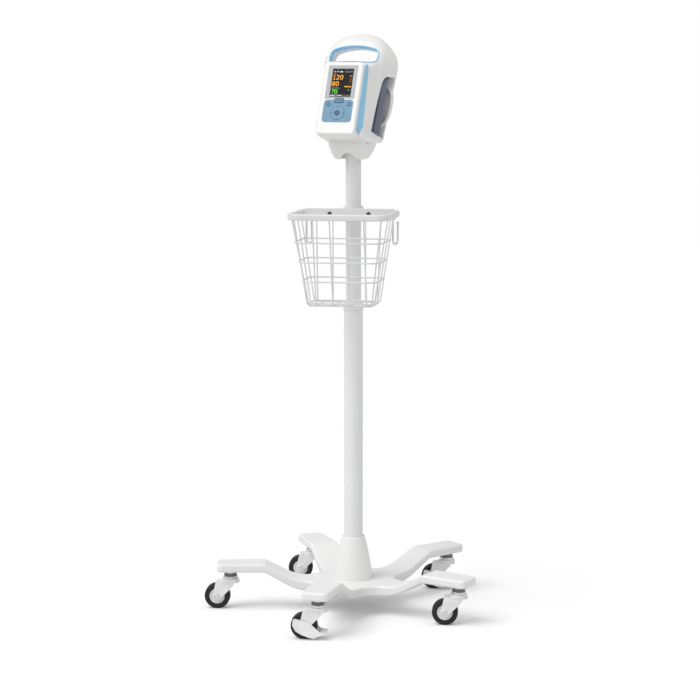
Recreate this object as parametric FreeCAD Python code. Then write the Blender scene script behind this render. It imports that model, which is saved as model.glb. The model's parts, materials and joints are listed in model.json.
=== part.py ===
import FreeCAD, Part
import math
import os

# Patient monitor on a five-leg mobile stand.
# Frame: +Z up, origin on the floor under the column axis, the screen faces -Y.
# Lengths in millimetres, angles in degrees.

V = FreeCAD.Vector
X_AXIS = V(1, 0, 0)
Y_AXIS = V(0, 1, 0)
Z_AXIS = V(0, 0, 1)
ORIGIN = V(0, 0, 0)

# ---------------------------------------------------------------- driving dimensions
FIT = 0.05                 # radial running clearance

# base star
LEG_COUNT = 5
LEG_STEP = 360.0 / LEG_COUNT
FIRST_LEG_ANGLE = 274.7
LEG_TIP_RADIUS = 268.0
LEG_HALF_WIDTH = 25.5
LEG_ROOT_HALF_WIDTH = 31.0
LEG_ROOT_RADIUS = 105.0
KNEE_RADIUS = 175.0
PAD_TOP = 92.0
PAD_BOTTOM = 76.0
HUB_TOP = 59.0
HUB_BOTTOM = 39.0
HUB_FLAT_RADIUS = 86.0
WEB_FILLET = 40.0
TIP_CORNER = 10.0
STAR_EDGE = 4.0
KNEE_BEND = 9.0
SOCKET_RADIUS = 25.0
SOCKET_TOP = 80.0
SOCKET_FLOOR = 64.0
BOLT_RADIUS = 5.0
BOLT_POCKET_RADIUS = 11.5
BOLT_SEAT = 50.0
BOLT_WASHER = 2.0
BOLT_HEAD_RADIUS = 9.2
BOLT_HEAD_HEIGHT = 6.4
PLUG_HEIGHT = 18.0

# casters
CASTER_RADIUS = 241.7
TRAIL_ANGLE = 196.5
TRAIL = 26.0
WHEEL_RADIUS = 25.0
TYRE_INNER_RADIUS = 15.0
TYRE_WIDTH = 18.0
HUB_WIDTH = 21.0
AXLE_RADIUS = 4.0
FORK_GAP = 23.0
FORK_PLATE = 2.2
FORK_TOP = 55.0
FORK_TOP_THICKNESS = 2.6
FORK_BOSS_RADIUS = 8.5
STEM_RADIUS = 5.0
STEM_HEAD_RADIUS = 7.0
LOWER_RACE_RADIUS = 16.5
LOWER_RACE_TOP = 60.6
UPPER_RACE_RADIUS = 14.5
UPPER_RACE_BOTTOM = 61.0
UPPER_RACE_TOP = 65.4
DUST_RING_RADIUS = 12.5
DUST_RING_TOP = 70.0
STEM_TOP = 88.0
CASTER_NAMES = ("front", "right_front", "right_back", "left_back", "left_front")
BRAKED_CASTERS = ("front", "right_back")
BRAKE_PIVOT_X = -14.0
BRAKE_PIVOT_Z = 27.5

# column
LOWER_TUBE_RADIUS = 18.5
LOWER_TUBE_BORE = 16.5
LOWER_TUBE_TOP = 590.0
UPPER_TUBE_RADIUS = 15.0
UPPER_TUBE_BORE = 13.2
UPPER_TUBE_BOTTOM = 545.0
UPPER_TUBE_TOP = 903.0
COLLAR_TOP = 605.0
COLLAR_RADIUS = 19.8
SHROUD_BOTTOM_RADIUS = 37.5
SHROUD_TOP_RADIUS = 22.5
SHROUD_TOP = 144.0
SHROUD_WALL = 2.5

# basket: built with its front towards -Y, then turned about the column
BASKET_TURN = 11.0
RIM_TOP = 786.5
RIM_BOTTOM = 774.5
RIM_HALF_WIDTH = 97.0
RIM_FRONT = 187.0
RIM_THICKNESS = 9.5
RIM_CORNER = 26.0
PLATE_BACK = 46.0
PLATE_THICKNESS = 5.0
PLATE_TOP = 789.0
PLATE_BOTTOM = 767.0
PLATE_HALF_WIDTH = 93.0
CAGE_SHIFT = -2.6          # the cage sits a little to the left of the rim's middle
WIRE_RADIUS = 1.35
RING_RADIUS = 1.55
RING_LEVELS = (732.0, 695.0, 658.0)
BASKET_FLOOR = 611.0
FLOOR_HALF_WIDTH = 63.5
FLOOR_FRONT = 142.0
WIRE_BACK = 54.0
SCREW_SPACING = 75.0
CLAMP_RADIUS = 19.5
CLAMP_BOTTOM = 768.0
CLAMP_TOP = 790.0
HOOK_RADIUS = 2.1
HOOK_OFFSET = 83.5
HOOK_LENGTH = 46.0
HOOK_BEND = 8.5
SCREW_RADIUS = 2.0
SCREW_LEVEL = 779.0
FRONT_WIRES = (-44.5, -12.5, 19.5, 51.5)
BACK_WIRES = (-59.5, -28.0, 3.5, 35.0, 64.5)
SIDE_WIRES = (57.0, 94.0, 131.0)

# monitor head: built upright with its face on the plane Y = 0, then tilted back and lifted
HEAD_TILT = 22.9
HEAD_Y = -95.0
HEAD_Z = 952.0
FACE_HALF_WIDTH = 39.5
FACE_BOTTOM = -23.0
FACE_TOP = 124.0
FACE_DEPTH = 20.0
FACE_CORNER = 9.0
SHELL_WALL = 2.6
SEAT_HEIGHT = 912.0        # level of the cradle's rear deck, above the floor
BEZEL_HALF_WIDTH = 29.8
BEZEL_BOTTOM = 48.0
BEZEL_TOP = 116.0
SCREEN_HALF_WIDTH = 21.6
SCREEN_BOTTOM = 52.2
SCREEN_TOP = 109.8
KEYPAD_HALF_WIDTH = 29.5
KEYPAD_BOTTOM = 1.0
KEYPAD_TOP = 46.6
PANEL_DEPTH = 1.2
KEY_TRAVEL = 1.0
KEY_PROUD = 0.7
KEY_PLAY = 0.15
KEY_BACK = 3.0
ROUND_KEY_X = 20.5
ROUND_KEY_Z = 37.5
ROUND_KEY_RADIUS = 4.2
NAV_Z = 19.5
NAV_RADIUS = 14.0
NAV_HOLE = 5.2
SELECT_RADIUS = 4.2
START_HALF_WIDTH = 9.6
START_BOTTOM = 39.6
START_TOP = 50.6
BAY_FLOOR = 1.0
# opening of the cuff bay seen from the side: depth and height along its front and top edge
BAY_EDGE = ((44.5, 1.0), (49.0, 59.0), (54.0, 104.0), (57.0, 112.0), (61.5, 117.5), (67.0, 120.5),
            (85.0, 125.0))
BAY_INNER = 36.0
BAY_REAR = 85.0
REAR_FACE = 104.0
ELECTRONICS_TOP = 116.0
HOLE_HALF_WIDTH = 48.0
HOLE_BOTTOM = 136.0
HOLE_TOP = 174.0
HOLE_RISE = 7.0
HOLE_CORNER = 11.0
HANDLE_WALL_REAR = 54.0
DOOR_HALF_WIDTH = 26.0
DOOR_BOTTOM = 22.0
DOOR_TOP = 70.0
DOOR_THICKNESS = 2.4
HOSE_RADIUS = 3.2
HOSE_DEPTH = 80.6
HOSE_BEND = 0.45           # share of the shorter run that a bend takes up at each corner
HOSE_POINTS = ((39.0, 109.0), (57.0, 109.0), (73.5, 92.5), (74.5, 66.0), (71.8, 44.0), (64.2, 28.0),
               (48.6, 21.7))
CUFF_PORT = (44.5, 20.0)
CUFF_PORT_RADIUS = 4.4
BARB_RADIUS = 4.0
LINER_WALL = 1.8
STRIP_FRONT = 8.0
STRIP_BOTTOM = -12.0
STRIP_TOP = 124.5
# how far a strip stands out beside the face, from its lower end to its upper end: level, distance
STRIP_WIDTHS = ((-12.0, 3.4), (0.0, 7.8), (112.5, 3.2), (124.5, 1.0))
BOARD_FRONT = 9.4
BOARD_SCREWS = ((-30.0, -12.0), (30.0, -12.0), (-30.0, 115.0), (30.0, 115.0))
NAV_PIVOT_DEPTH = 4.2
BATTERY_HALF = 21.0
BATTERY_FRONT = 84.0
HOUSING_SCREWS = ((-33.0, 14.0), (33.0, 14.0), (-42.0, 90.0), (30.0, 90.0))
BUCKET_BACK = 34.0
BUCKET_SCREW_Z = 893.0
# bucket sections: half width, front, back, corner radius, level
BUCKET_SECTIONS = ((28.5, -27.0, 8.0, 11.0, 881.0), (32.0, -31.5, 14.0, 12.0, 885.5),
                   (35.5, -38.0, 24.0, 12.0, 896.0), (37.5, -42.5, 31.5, 12.0, 906.0),
                   (38.0, -43.5, 34.0, 12.0, SEAT_HEIGHT), (38.2, -44.0, 34.4, 12.0, 930.0))
NOTCH_RADIUS = 18.0
NOTCH_TOP = 893.5
# rear housing sections: depth behind the face, half widths (at the arch's spring, below right, below
# left), levels (top of the arch, its spring, underside), fullness of the arch
SHELL_SECTIONS = (
    (20.0, 41.5, 47.5, 42.0, 131.0, 118.0, -20.5, 3.0),
    (30.0, 46.5, 51.0, 43.5, 138.0, 120.0, -18.5, 2.9),
    (38.0, 50.5, 53.5, 44.5, 154.0, 123.0, -17.2, 2.8),
    (45.0, 55.5, 55.5, 45.5, 178.0, 128.0, -16.0, 2.7),
    (54.0, 61.0, 58.0, 46.5, 198.0, 136.0, -14.4, 2.6),
    (64.0, 66.0, 60.5, 48.0, 207.5, 142.0, -12.6, 2.3),
    (75.0, 71.5, 63.0, 50.0, 211.0, 148.0, -10.2, 2.1),
    (88.0, 75.0, 65.0, 52.0, 212.0, 155.0, -6.2, 2.1),
    (98.0, 71.5, 61.0, 49.0, 210.0, 157.0, -2.2, 2.1),
    (104.0, 66.0, 54.0, 43.0, 206.0, 158.0, 0.5, 2.1),
)
CORNER_RIGHT = 8.0
CORNER_LEFT = 13.0


# ---------------------------------------------------------------- helpers
def box(x0, x1, y0, y1, z0, z1):
    return Part.makeBox(x1 - x0, y1 - y0, z1 - z0, V(x0, y0, z0))


def rod(radius, start, end):
    along = end.sub(start)
    return Part.makeCylinder(radius, along.Length, start, along)


def post(radius, z0, z1, x=0.0, y=0.0):
    return Part.makeCylinder(radius, z1 - z0, V(x, y, z0))


def pipe_post(outer, inner, z0, z1):
    return post(outer, z0, z1).cut(post(inner, z0 - 1, z1 + 1))


def polygon(points):
    return Part.Face(Part.makePolygon(list(points) + [points[0]]))


def prism_y(points, y0, y1):
    """Extrude an outline given as (x, z) pairs from y0 to y1."""
    face = polygon([V(x, y0, z) for x, z in points])
    return face.extrude(V(0, y1 - y0, 0))


def revolve_z(points):
    face = polygon([V(r, 0, z) for r, z in points])
    return face.revolve(ORIGIN, Z_AXIS, 360)


def fuse_all(shapes):
    first, rest = shapes[0], shapes[1:]
    return first.multiFuse(rest).removeSplitter() if rest else first


def turned(shape, angle, centre=ORIGIN, axis=Z_AXIS):
    copy = shape.copy()
    copy.rotate(centre, axis, angle)
    return copy


def moved(shape, x=0.0, y=0.0, z=0.0):
    copy = shape.copy()
    copy.translate(V(x, y, z))
    return copy


def edges_along(shape, direction, test=lambda edge: True):
    """Straight edges that run along a direction and pass a test."""
    chosen = []
    for edge in shape.Edges:
        if edge.Curve.TypeId != "Part::GeomLine":
            continue
        run = edge.Vertexes[1].Point.sub(edge.Vertexes[0].Point).normalize()
        if abs(run.dot(direction)) > 0.999 and test(edge):
            chosen.append(edge)
    return chosen


def edges_at(shape, axis, value, tolerance=0.01):
    """Edges that lie wholly on a plane square to an axis (0, 1 or 2)."""
    chosen = []
    for edge in shape.Edges:
        low = (edge.BoundBox.XMin, edge.BoundBox.YMin, edge.BoundBox.ZMin)[axis]
        high = (edge.BoundBox.XMax, edge.BoundBox.YMax, edge.BoundBox.ZMax)[axis]
        if abs(low - value) < tolerance and abs(high - value) < tolerance:
            chosen.append(edge)
    return chosen


def softened(shape, radius, edges):
    return shape.makeFillet(radius, edges) if edges else shape


def rounded_box(x0, x1, y0, y1, z0, z1, corner, axis=Z_AXIS):
    block = box(x0, x1, y0, y1, z0, z1)
    return softened(block, corner, edges_along(block, axis))


def bent_wire(points, bend, radius):
    """A round wire through the points, with every corner rounded to the bend radius."""
    edges = []
    start = points[0]
    for index in range(1, len(points) - 1):
        corner = points[index]
        to_before = points[index - 1].sub(corner).normalize()
        to_after = points[index + 1].sub(corner).normalize()
        half = math.acos(max(-1.0, min(1.0, to_before.dot(to_after)))) / 2
        setback = bend / math.tan(half)
        enter = corner + to_before * setback
        leave = corner + to_after * setback
        inward = (to_before + to_after).normalize()
        middle = corner + inward * (bend / math.sin(half) - bend)
        edges.append(Part.LineSegment(start, enter).toShape())
        edges.append(Part.Arc(enter, middle, leave).toShape())
        start = leave
    edges.append(Part.LineSegment(start, points[-1]).toShape())
    path = Part.Wire(edges)
    heading = points[1].sub(points[0])
    section = Part.Wire([Part.Circle(points[0], heading, radius).toShape()])
    return path.makePipeShell([section], True, False)


def write(name, shape):
    shape.exportStep(os.path.join("parts", name + ".step"))


def group(shapes):
    return Part.makeCompound(shapes)


# ---------------------------------------------------------------- base
def leg_angle(index):
    return FIRST_LEG_ANGLE + LEG_STEP * index


def leg_section(hub_level, pad_level, flat_radius, slope_angle, width):
    """Side outline of one leg surface: hub flat, rising arc, straight ramp, level pad."""
    slope = math.radians(slope_angle)
    run = KNEE_RADIUS - flat_radius
    rise = pad_level - hub_level
    straight = (rise - run * math.tan(slope / 2)) / (math.sin(slope) - math.cos(slope) * math.tan(slope / 2))
    bend = (run - straight * math.cos(slope)) / math.sin(slope)
    arc_end = V(flat_radius + bend * math.sin(slope), 0, hub_level + bend * (1 - math.cos(slope)))
    half = slope / 2
    arc_middle = V(flat_radius + bend * math.sin(half), 0, hub_level + bend * (1 - math.cos(half)))
    return [
        Part.LineSegment(V(0, 0, hub_level), V(flat_radius, 0, hub_level)),
        Part.Arc(V(flat_radius, 0, hub_level), arc_middle, arc_end),
        Part.LineSegment(arc_end, V(KNEE_RADIUS, 0, pad_level)),
        Part.LineSegment(V(KNEE_RADIUS, 0, pad_level), V(width, 0, pad_level)),
    ]


def star_outline():
    """Plan outline of the star, its web corners and tips rounded."""
    taper = (LEG_ROOT_HALF_WIDTH - LEG_HALF_WIDTH) / (LEG_TIP_RADIUS - LEG_ROOT_RADIUS)
    spread = math.tan(math.radians(LEG_STEP / 2))
    web_x = (LEG_HALF_WIDTH + taper * LEG_TIP_RADIUS) / (spread + taper)
    corner = (web_x, web_x * spread)
    one_leg = [
        (corner[0], -corner[1]),
        (LEG_TIP_RADIUS, -LEG_HALF_WIDTH),
        (LEG_TIP_RADIUS, LEG_HALF_WIDTH),
    ]
    points = []
    for index in range(LEG_COUNT):
        turn = FreeCAD.Rotation(Z_AXIS, LEG_STEP * index)
        points += [turn.multVec(V(x, y, 0)) for x, y in one_leg]
    block = polygon(points).extrude(V(0, 0, 2 * PAD_TOP))
    web_radius = math.hypot(*corner)
    web_edges = edges_along(block, Z_AXIS, lambda e: abs(e.CenterOfMass.sub(
        V(0, 0, PAD_TOP)).Length - web_radius) < 1)
    block = block.makeFillet(WEB_FILLET, web_edges)
    tip_radius = math.hypot(LEG_TIP_RADIUS, LEG_HALF_WIDTH)
    tip_edges = edges_along(block, Z_AXIS, lambda e: abs(e.CenterOfMass.sub(
        V(0, 0, PAD_TOP)).Length - tip_radius) < 1)
    return block.makeFillet(TIP_CORNER, tip_edges)


def base_star():
    length = LEG_TIP_RADIUS + 20
    top = leg_section(HUB_TOP, PAD_TOP, HUB_FLAT_RADIUS, 27.0, length)
    bottom = leg_section(HUB_BOTTOM, PAD_BOTTOM, HUB_FLAT_RADIUS - 2, 29.0, length)
    sides = [Part.LineSegment(V(0, 0, HUB_BOTTOM), V(0, 0, HUB_TOP)),
             Part.LineSegment(V(length, 0, PAD_BOTTOM), V(length, 0, PAD_TOP))]
    curves = Part.sortEdges([c.toShape() for c in top + bottom + sides])[0]
    side_face = Part.Face(Part.Wire(curves))
    reach = length * math.tan(math.radians(LEG_STEP / 2))
    slab = moved(side_face, y=-reach).extrude(V(0, 2 * reach, 0))
    slab = slab.makeFillet(KNEE_BEND, edges_along(slab, Y_AXIS, lambda e: (
        abs(e.CenterOfMass.x - KNEE_RADIUS) < 0.1)))
    wedge = polygon([ORIGIN, V(length, -reach, 0), V(length, reach, 0)]).extrude(V(0, 0, 2 * PAD_TOP))
    leg = star_outline().common(wedge).common(slab)
    star = fuse_all([turned(leg, LEG_STEP * index) for index in range(LEG_COUNT)])
    rim = [e for e in star.Edges if on_star_top(e)]
    star = star.makeFillet(STAR_EDGE, rim)
    star = star.fuse(post(SOCKET_RADIUS, HUB_TOP - 2, SOCKET_TOP))
    star = star.cut(post(LOWER_TUBE_RADIUS + FIT, SOCKET_FLOOR, SOCKET_TOP + 1))
    star = star.cut(post(BOLT_RADIUS + FIT, HUB_BOTTOM - 1, SOCKET_FLOOR + 1))
    star = star.cut(post(BOLT_POCKET_RADIUS, HUB_BOTTOM - 1, BOLT_SEAT))
    for index in range(LEG_COUNT):
        angle = math.radians(LEG_STEP * index)
        x, y = CASTER_RADIUS * math.cos(angle), CASTER_RADIUS * math.sin(angle)
        star = star.cut(post(STEM_RADIUS, PAD_BOTTOM - 5, STEM_TOP, x, y))
    return turned(star.removeSplitter(), FIRST_LEG_ANGLE)


def on_star_top(edge):
    """True for the outer edges round the star's upper and lower faces."""
    if edge.Curve.TypeId == "Part::GeomLine":
        run = edge.Vertexes[1].Point.sub(edge.Vertexes[0].Point).normalize()
        if abs(run.z) > 0.9:
            return False
    for step in (0.25, 0.5, 0.75):
        point = edge.valueAt(edge.FirstParameter + step * (edge.LastParameter - edge.FirstParameter))
        angle = math.degrees(math.atan2(point.y, point.x)) % LEG_STEP
        across = min(angle, LEG_STEP - angle)
        sideways = math.hypot(point.x, point.y) * math.sin(math.radians(across))
        radius = math.hypot(point.x, point.y)
        if sideways < LEG_HALF_WIDTH - TIP_CORNER - 1 and radius < LEG_TIP_RADIUS - 1:
            return False
    return True


def base_bolt():
    head = polygon([V(BOLT_HEAD_RADIUS * math.cos(math.radians(60 * k)),
                      BOLT_HEAD_RADIUS * math.sin(math.radians(60 * k)),
                      BOLT_SEAT - BOLT_WASHER - BOLT_HEAD_HEIGHT) for k in range(6)])
    head = head.extrude(V(0, 0, BOLT_HEAD_HEIGHT))
    washer = post(BOLT_POCKET_RADIUS - 1, BOLT_SEAT - BOLT_WASHER, BOLT_SEAT)
    shank = post(BOLT_RADIUS, BOLT_SEAT - BOLT_WASHER, SOCKET_FLOOR + PLUG_HEIGHT - 2)
    return fuse_all([head, washer, shank])


def pole_shroud():
    outer = [(SHROUD_BOTTOM_RADIUS, HUB_TOP), (SHROUD_BOTTOM_RADIUS - 0.6, HUB_TOP + 8),
             (SHROUD_BOTTOM_RADIUS - 3.6, HUB_TOP + 30), (SHROUD_BOTTOM_RADIUS - 8.4, HUB_TOP + 56),
             (SHROUD_TOP_RADIUS, SHROUD_TOP - 2)]
    spline = Part.BSplineCurve()
    spline.interpolate([V(r, 0, z) for r, z in outer])
    wall = spline.toShape()
    inner_top = LOWER_TUBE_RADIUS + 0.4
    inner_spline = Part.BSplineCurve()
    inner_spline.interpolate([V(r - SHROUD_WALL, 0, z) for r, z in outer[:-1]]
                             + [V(inner_top + 0.6, 0, SHROUD_TOP - 5)])
    inner = inner_spline.toShape()
    ring = Part.Wire([
        wall,
        Part.LineSegment(V(SHROUD_TOP_RADIUS, 0, SHROUD_TOP - 2),
                         V(SHROUD_TOP_RADIUS - 1, 0, SHROUD_TOP)).toShape(),
        Part.LineSegment(V(SHROUD_TOP_RADIUS - 1, 0, SHROUD_TOP), V(inner_top, 0, SHROUD_TOP)).toShape(),
        Part.LineSegment(V(inner_top, 0, SHROUD_TOP), V(inner_top + 0.6, 0, SHROUD_TOP - 5)).toShape(),
        inner,
        Part.LineSegment(V(SHROUD_BOTTOM_RADIUS - SHROUD_WALL, 0, HUB_TOP),
                         V(SHROUD_BOTTOM_RADIUS, 0, HUB_TOP)).toShape(),
    ])
    return Part.Face(ring).revolve(ORIGIN, Z_AXIS, 360)


# ---------------------------------------------------------------- casters
def caster_place(shape, index):
    """Put a caster part, built about its swivel axis with its trail towards -X, under a leg."""
    angle = math.radians(leg_angle(index))
    turned_part = turned(shape, TRAIL_ANGLE - 180)
    return moved(turned_part, CASTER_RADIUS * math.cos(angle), CASTER_RADIUS * math.sin(angle))


def caster_stem():
    head = post(STEM_HEAD_RADIUS, FORK_TOP - FORK_TOP_THICKNESS - 3.4, FORK_TOP - FORK_TOP_THICKNESS - 0.4)
    shank = post(STEM_RADIUS, FORK_TOP - FORK_TOP_THICKNESS - 0.4, STEM_TOP)
    collar = post(STEM_RADIUS + 3.5, DUST_RING_TOP, PAD_BOTTOM)
    return fuse_all([head, shank, collar])


def dust_ring():
    ring = post(DUST_RING_RADIUS, UPPER_RACE_TOP, DUST_RING_TOP)
    ring = softened(ring, 1.2, edges_at(ring, 2, DUST_RING_TOP))
    return ring.cut(post(STEM_RADIUS, UPPER_RACE_TOP - 1, DUST_RING_TOP + 1))


def upper_race():
    ring = post(UPPER_RACE_RADIUS, UPPER_RACE_BOTTOM, UPPER_RACE_TOP)
    ring = softened(ring, 2.0, edges_at(ring, 2, UPPER_RACE_TOP))
    return ring.cut(post(STEM_RADIUS, UPPER_RACE_BOTTOM - 1, UPPER_RACE_TOP + 1))


def fork():
    half = FORK_GAP / 2
    outer = half + FORK_PLATE
    plate_floor = FORK_TOP - FORK_TOP_THICKNESS
    top = rounded_box(-TRAIL - 2, 17, -outer, outer, plate_floor, FORK_TOP, 6)
    axle = (-TRAIL, WHEEL_RADIUS)
    boss = Part.makeCylinder(FORK_BOSS_RADIUS, 2 * outer, V(axle[0], -outer, axle[1]), Y_AXIS)
    web = prism_y([(-TRAIL - 2, FORK_TOP - 1), (9, FORK_TOP - 1), (8, plate_floor - 4),
                   (axle[0] + FORK_BOSS_RADIUS * 0.92, axle[1] - FORK_BOSS_RADIUS * 0.4),
                   (axle[0] - FORK_BOSS_RADIUS, axle[1])], -outer, outer)
    body = fuse_all([boss, web]).cut(box(-60, 40, -half, half, 0, plate_floor))
    body = body.fuse(top)
    race = post(LOWER_RACE_RADIUS, FORK_TOP - 0.5, LOWER_RACE_TOP)
    race = softened(race, 2.4, edges_at(race, 2, LOWER_RACE_TOP))
    body = body.fuse(race).removeSplitter()
    body = body.cut(post(STEM_RADIUS + FIT, plate_floor - 1, LOWER_RACE_TOP + 1))
    bore = Part.makeCylinder(AXLE_RADIUS, 2 * outer + 2, V(axle[0], -outer - 1, axle[1]), Y_AXIS)
    return body.cut(bore)


def axle():
    outer = FORK_GAP / 2 + FORK_PLATE
    shank = Part.makeCylinder(AXLE_RADIUS, 2 * outer, V(-TRAIL, -outer, WHEEL_RADIUS), Y_AXIS)
    heads = []
    for side in (-1, 1):
        start = V(-TRAIL, side * outer, WHEEL_RADIUS)
        head = Part.makeCylinder(AXLE_RADIUS + 2, 2.0, start, V(0, side, 0))
        heads.append(softened(head, 0.8, edges_at(head, 1, side * (outer + 2.0))))
    return fuse_all([shank] + heads)


def wheel_hub():
    centre = V(-TRAIL, 0, WHEEL_RADIUS)
    profile = [(AXLE_RADIUS + FIT, HUB_WIDTH / 2), (AXLE_RADIUS + 4, HUB_WIDTH / 2),
               (AXLE_RADIUS + 5, HUB_WIDTH / 2 - 3), (TYRE_INNER_RADIUS - 3, HUB_WIDTH / 2 - 3.4),
               (TYRE_INNER_RADIUS - 2, TYRE_WIDTH / 2 - 0.6), (TYRE_INNER_RADIUS, TYRE_WIDTH / 2 - 0.6)]
    outline = profile + [(r, -y) for r, y in reversed(profile)]
    face = polygon([centre + V(r, y, 0) for r, y in outline])
    return face.revolve(centre, Y_AXIS, 360)


def tyre():
    centre = V(-TRAIL, 0, WHEEL_RADIUS)
    ring = Part.makeCylinder(WHEEL_RADIUS, TYRE_WIDTH, centre + V(0, -TYRE_WIDTH / 2, 0), Y_AXIS)
    ring = ring.makeFillet(3.2, edges_at(ring, 1, TYRE_WIDTH / 2) + edges_at(ring, 1, -TYRE_WIDTH / 2))
    hole = Part.makeCylinder(TYRE_INNER_RADIUS, TYRE_WIDTH + 2, centre + V(0, -TYRE_WIDTH / 2 - 1, 0), Y_AXIS)
    return ring.cut(hole)


def brake_lever():
    """Pressed lever: two cheeks outside the fork, a shoe over the tread and a foot pedal."""
    inside = FORK_GAP / 2 + FORK_PLATE + 2.4
    outside = inside + 1.8
    cheek = [(-46, 38), (-42, 41), (-14, 32.4), (-9, 28), (4, 15.6), (13, 13.4), (13, 10.6), (3, 8.4),
             (-7, 3.4), (-18, 6), (-30, 10.6), (-41, 17), (-47, 28)]
    lever = prism_y(cheek, -outside, outside).cut(box(-60, 40, -inside, inside, -5, 60))
    tread = box(3.4, 14, -outside, outside, 10.4, 13.4)
    tread = softened(tread, 1.2, edges_along(tread, Y_AXIS))
    lip = rounded_box(11.6, 17, -outside - 2, outside + 2, 10.4, 13.4, 1.4, Y_AXIS)
    lever = fuse_all([lever, tread, lip])
    for side in (-1, 1):
        start = V(BRAKE_PIVOT_X, side * (inside - 2.35), BRAKE_PIVOT_Z)
        rivet = Part.makeCylinder(2.6, 5.2, start, V(0, side, 0))
        lever = lever.fuse(rivet)
    return lever.removeSplitter()


def caster_parts():
    """Write every caster piece; the stems, rings and races of all casters share a node each."""
    fixed = {"caster_stems": caster_stem(), "caster_dust_rings": dust_ring(),
             "caster_upper_races": upper_race()}
    for name, shape in fixed.items():
        write(name, group([caster_place(shape, index) for index in range(LEG_COUNT)]))
    own = {"fork": fork(), "axle": axle(), "hub": wheel_hub(), "tyre": tyre()}
    for index, place in enumerate(CASTER_NAMES):
        for name, shape in own.items():
            write(name + "_" + place, caster_place(shape, index))
        if place in BRAKED_CASTERS:
            write("brake_lever_" + place, caster_place(brake_lever(), index))


# ---------------------------------------------------------------- column
def lower_tube():
    tube = pipe_post(LOWER_TUBE_RADIUS, LOWER_TUBE_BORE, SOCKET_FLOOR, LOWER_TUBE_TOP)
    plug = post(LOWER_TUBE_BORE + 0.5, SOCKET_FLOOR, SOCKET_FLOOR + PLUG_HEIGHT)
    plug = plug.cut(post(BOLT_RADIUS + FIT, SOCKET_FLOOR - 1, SOCKET_FLOOR + PLUG_HEIGHT + 1))
    return tube.fuse(plug).removeSplitter()


def tube_collar():
    outline = [(UPPER_TUBE_RADIUS + FIT, UPPER_TUBE_BOTTOM), (LOWER_TUBE_BORE - FIT, UPPER_TUBE_BOTTOM),
               (LOWER_TUBE_BORE - FIT, LOWER_TUBE_TOP), (COLLAR_RADIUS, LOWER_TUBE_TOP),
               (COLLAR_RADIUS, COLLAR_TOP - 5), (UPPER_TUBE_RADIUS + 2, COLLAR_TOP),
               (UPPER_TUBE_RADIUS + FIT, COLLAR_TOP)]
    return revolve_z(outline)


def upper_tube():
    return pipe_post(UPPER_TUBE_RADIUS, UPPER_TUBE_BORE, UPPER_TUBE_BOTTOM, UPPER_TUBE_TOP)


# ---------------------------------------------------------------- basket
def basket_place(shape):
    return turned(shape, BASKET_TURN)


def wall_offset(level):
    """How far the basket wall has come in at a level: (half width, front distance)."""
    drop = (RIM_BOTTOM - level) / (RIM_BOTTOM - BASKET_FLOOR)
    top_half = RIM_HALF_WIDTH - RIM_THICKNESS + WIRE_RADIUS
    top_front = RIM_FRONT - RIM_THICKNESS + 2 * WIRE_RADIUS
    return top_half + drop * (FLOOR_HALF_WIDTH - top_half), top_front + drop * (FLOOR_FRONT - top_front)


def ring_path(half, front, back, level, front_corner, back_corner):
    """Closed rounded outline of a basket ring."""
    corners = [(-half, -back, back_corner), (half, -back, back_corner),
               (half, -front, front_corner), (-half, -front, front_corner)]
    edges = []
    ends = []
    for index, (x, y, radius) in enumerate(corners):
        here = V(x, y, level)
        before = V(corners[index - 1][0], corners[index - 1][1], level).sub(here).normalize()
        after_corner = corners[(index + 1) % 4]
        after = V(after_corner[0], after_corner[1], level).sub(here).normalize()
        enter, leave = here + before * radius, here + after * radius
        centre = here + (before + after) * radius
        middle = centre + here.sub(centre).normalize() * radius
        edges.append(Part.Arc(enter, middle, leave).toShape())
        ends.append((enter, leave))
    for index in range(4):
        edges.append(Part.LineSegment(ends[index][1], ends[(index + 1) % 4][0]).toShape())
    return Part.Wire(Part.sortEdges(edges)[0])


def ring_wire(half, front, level, radius):
    path = ring_path(half, front, WIRE_BACK, level, 24.0, 12.0)
    start = path.Edges[0].valueAt(path.Edges[0].FirstParameter)
    heading = path.Edges[0].tangentAt(path.Edges[0].FirstParameter)
    section = Part.Wire([Part.Circle(start, heading, radius).toShape()])
    return path.makePipeShell([section], True, False)


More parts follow.
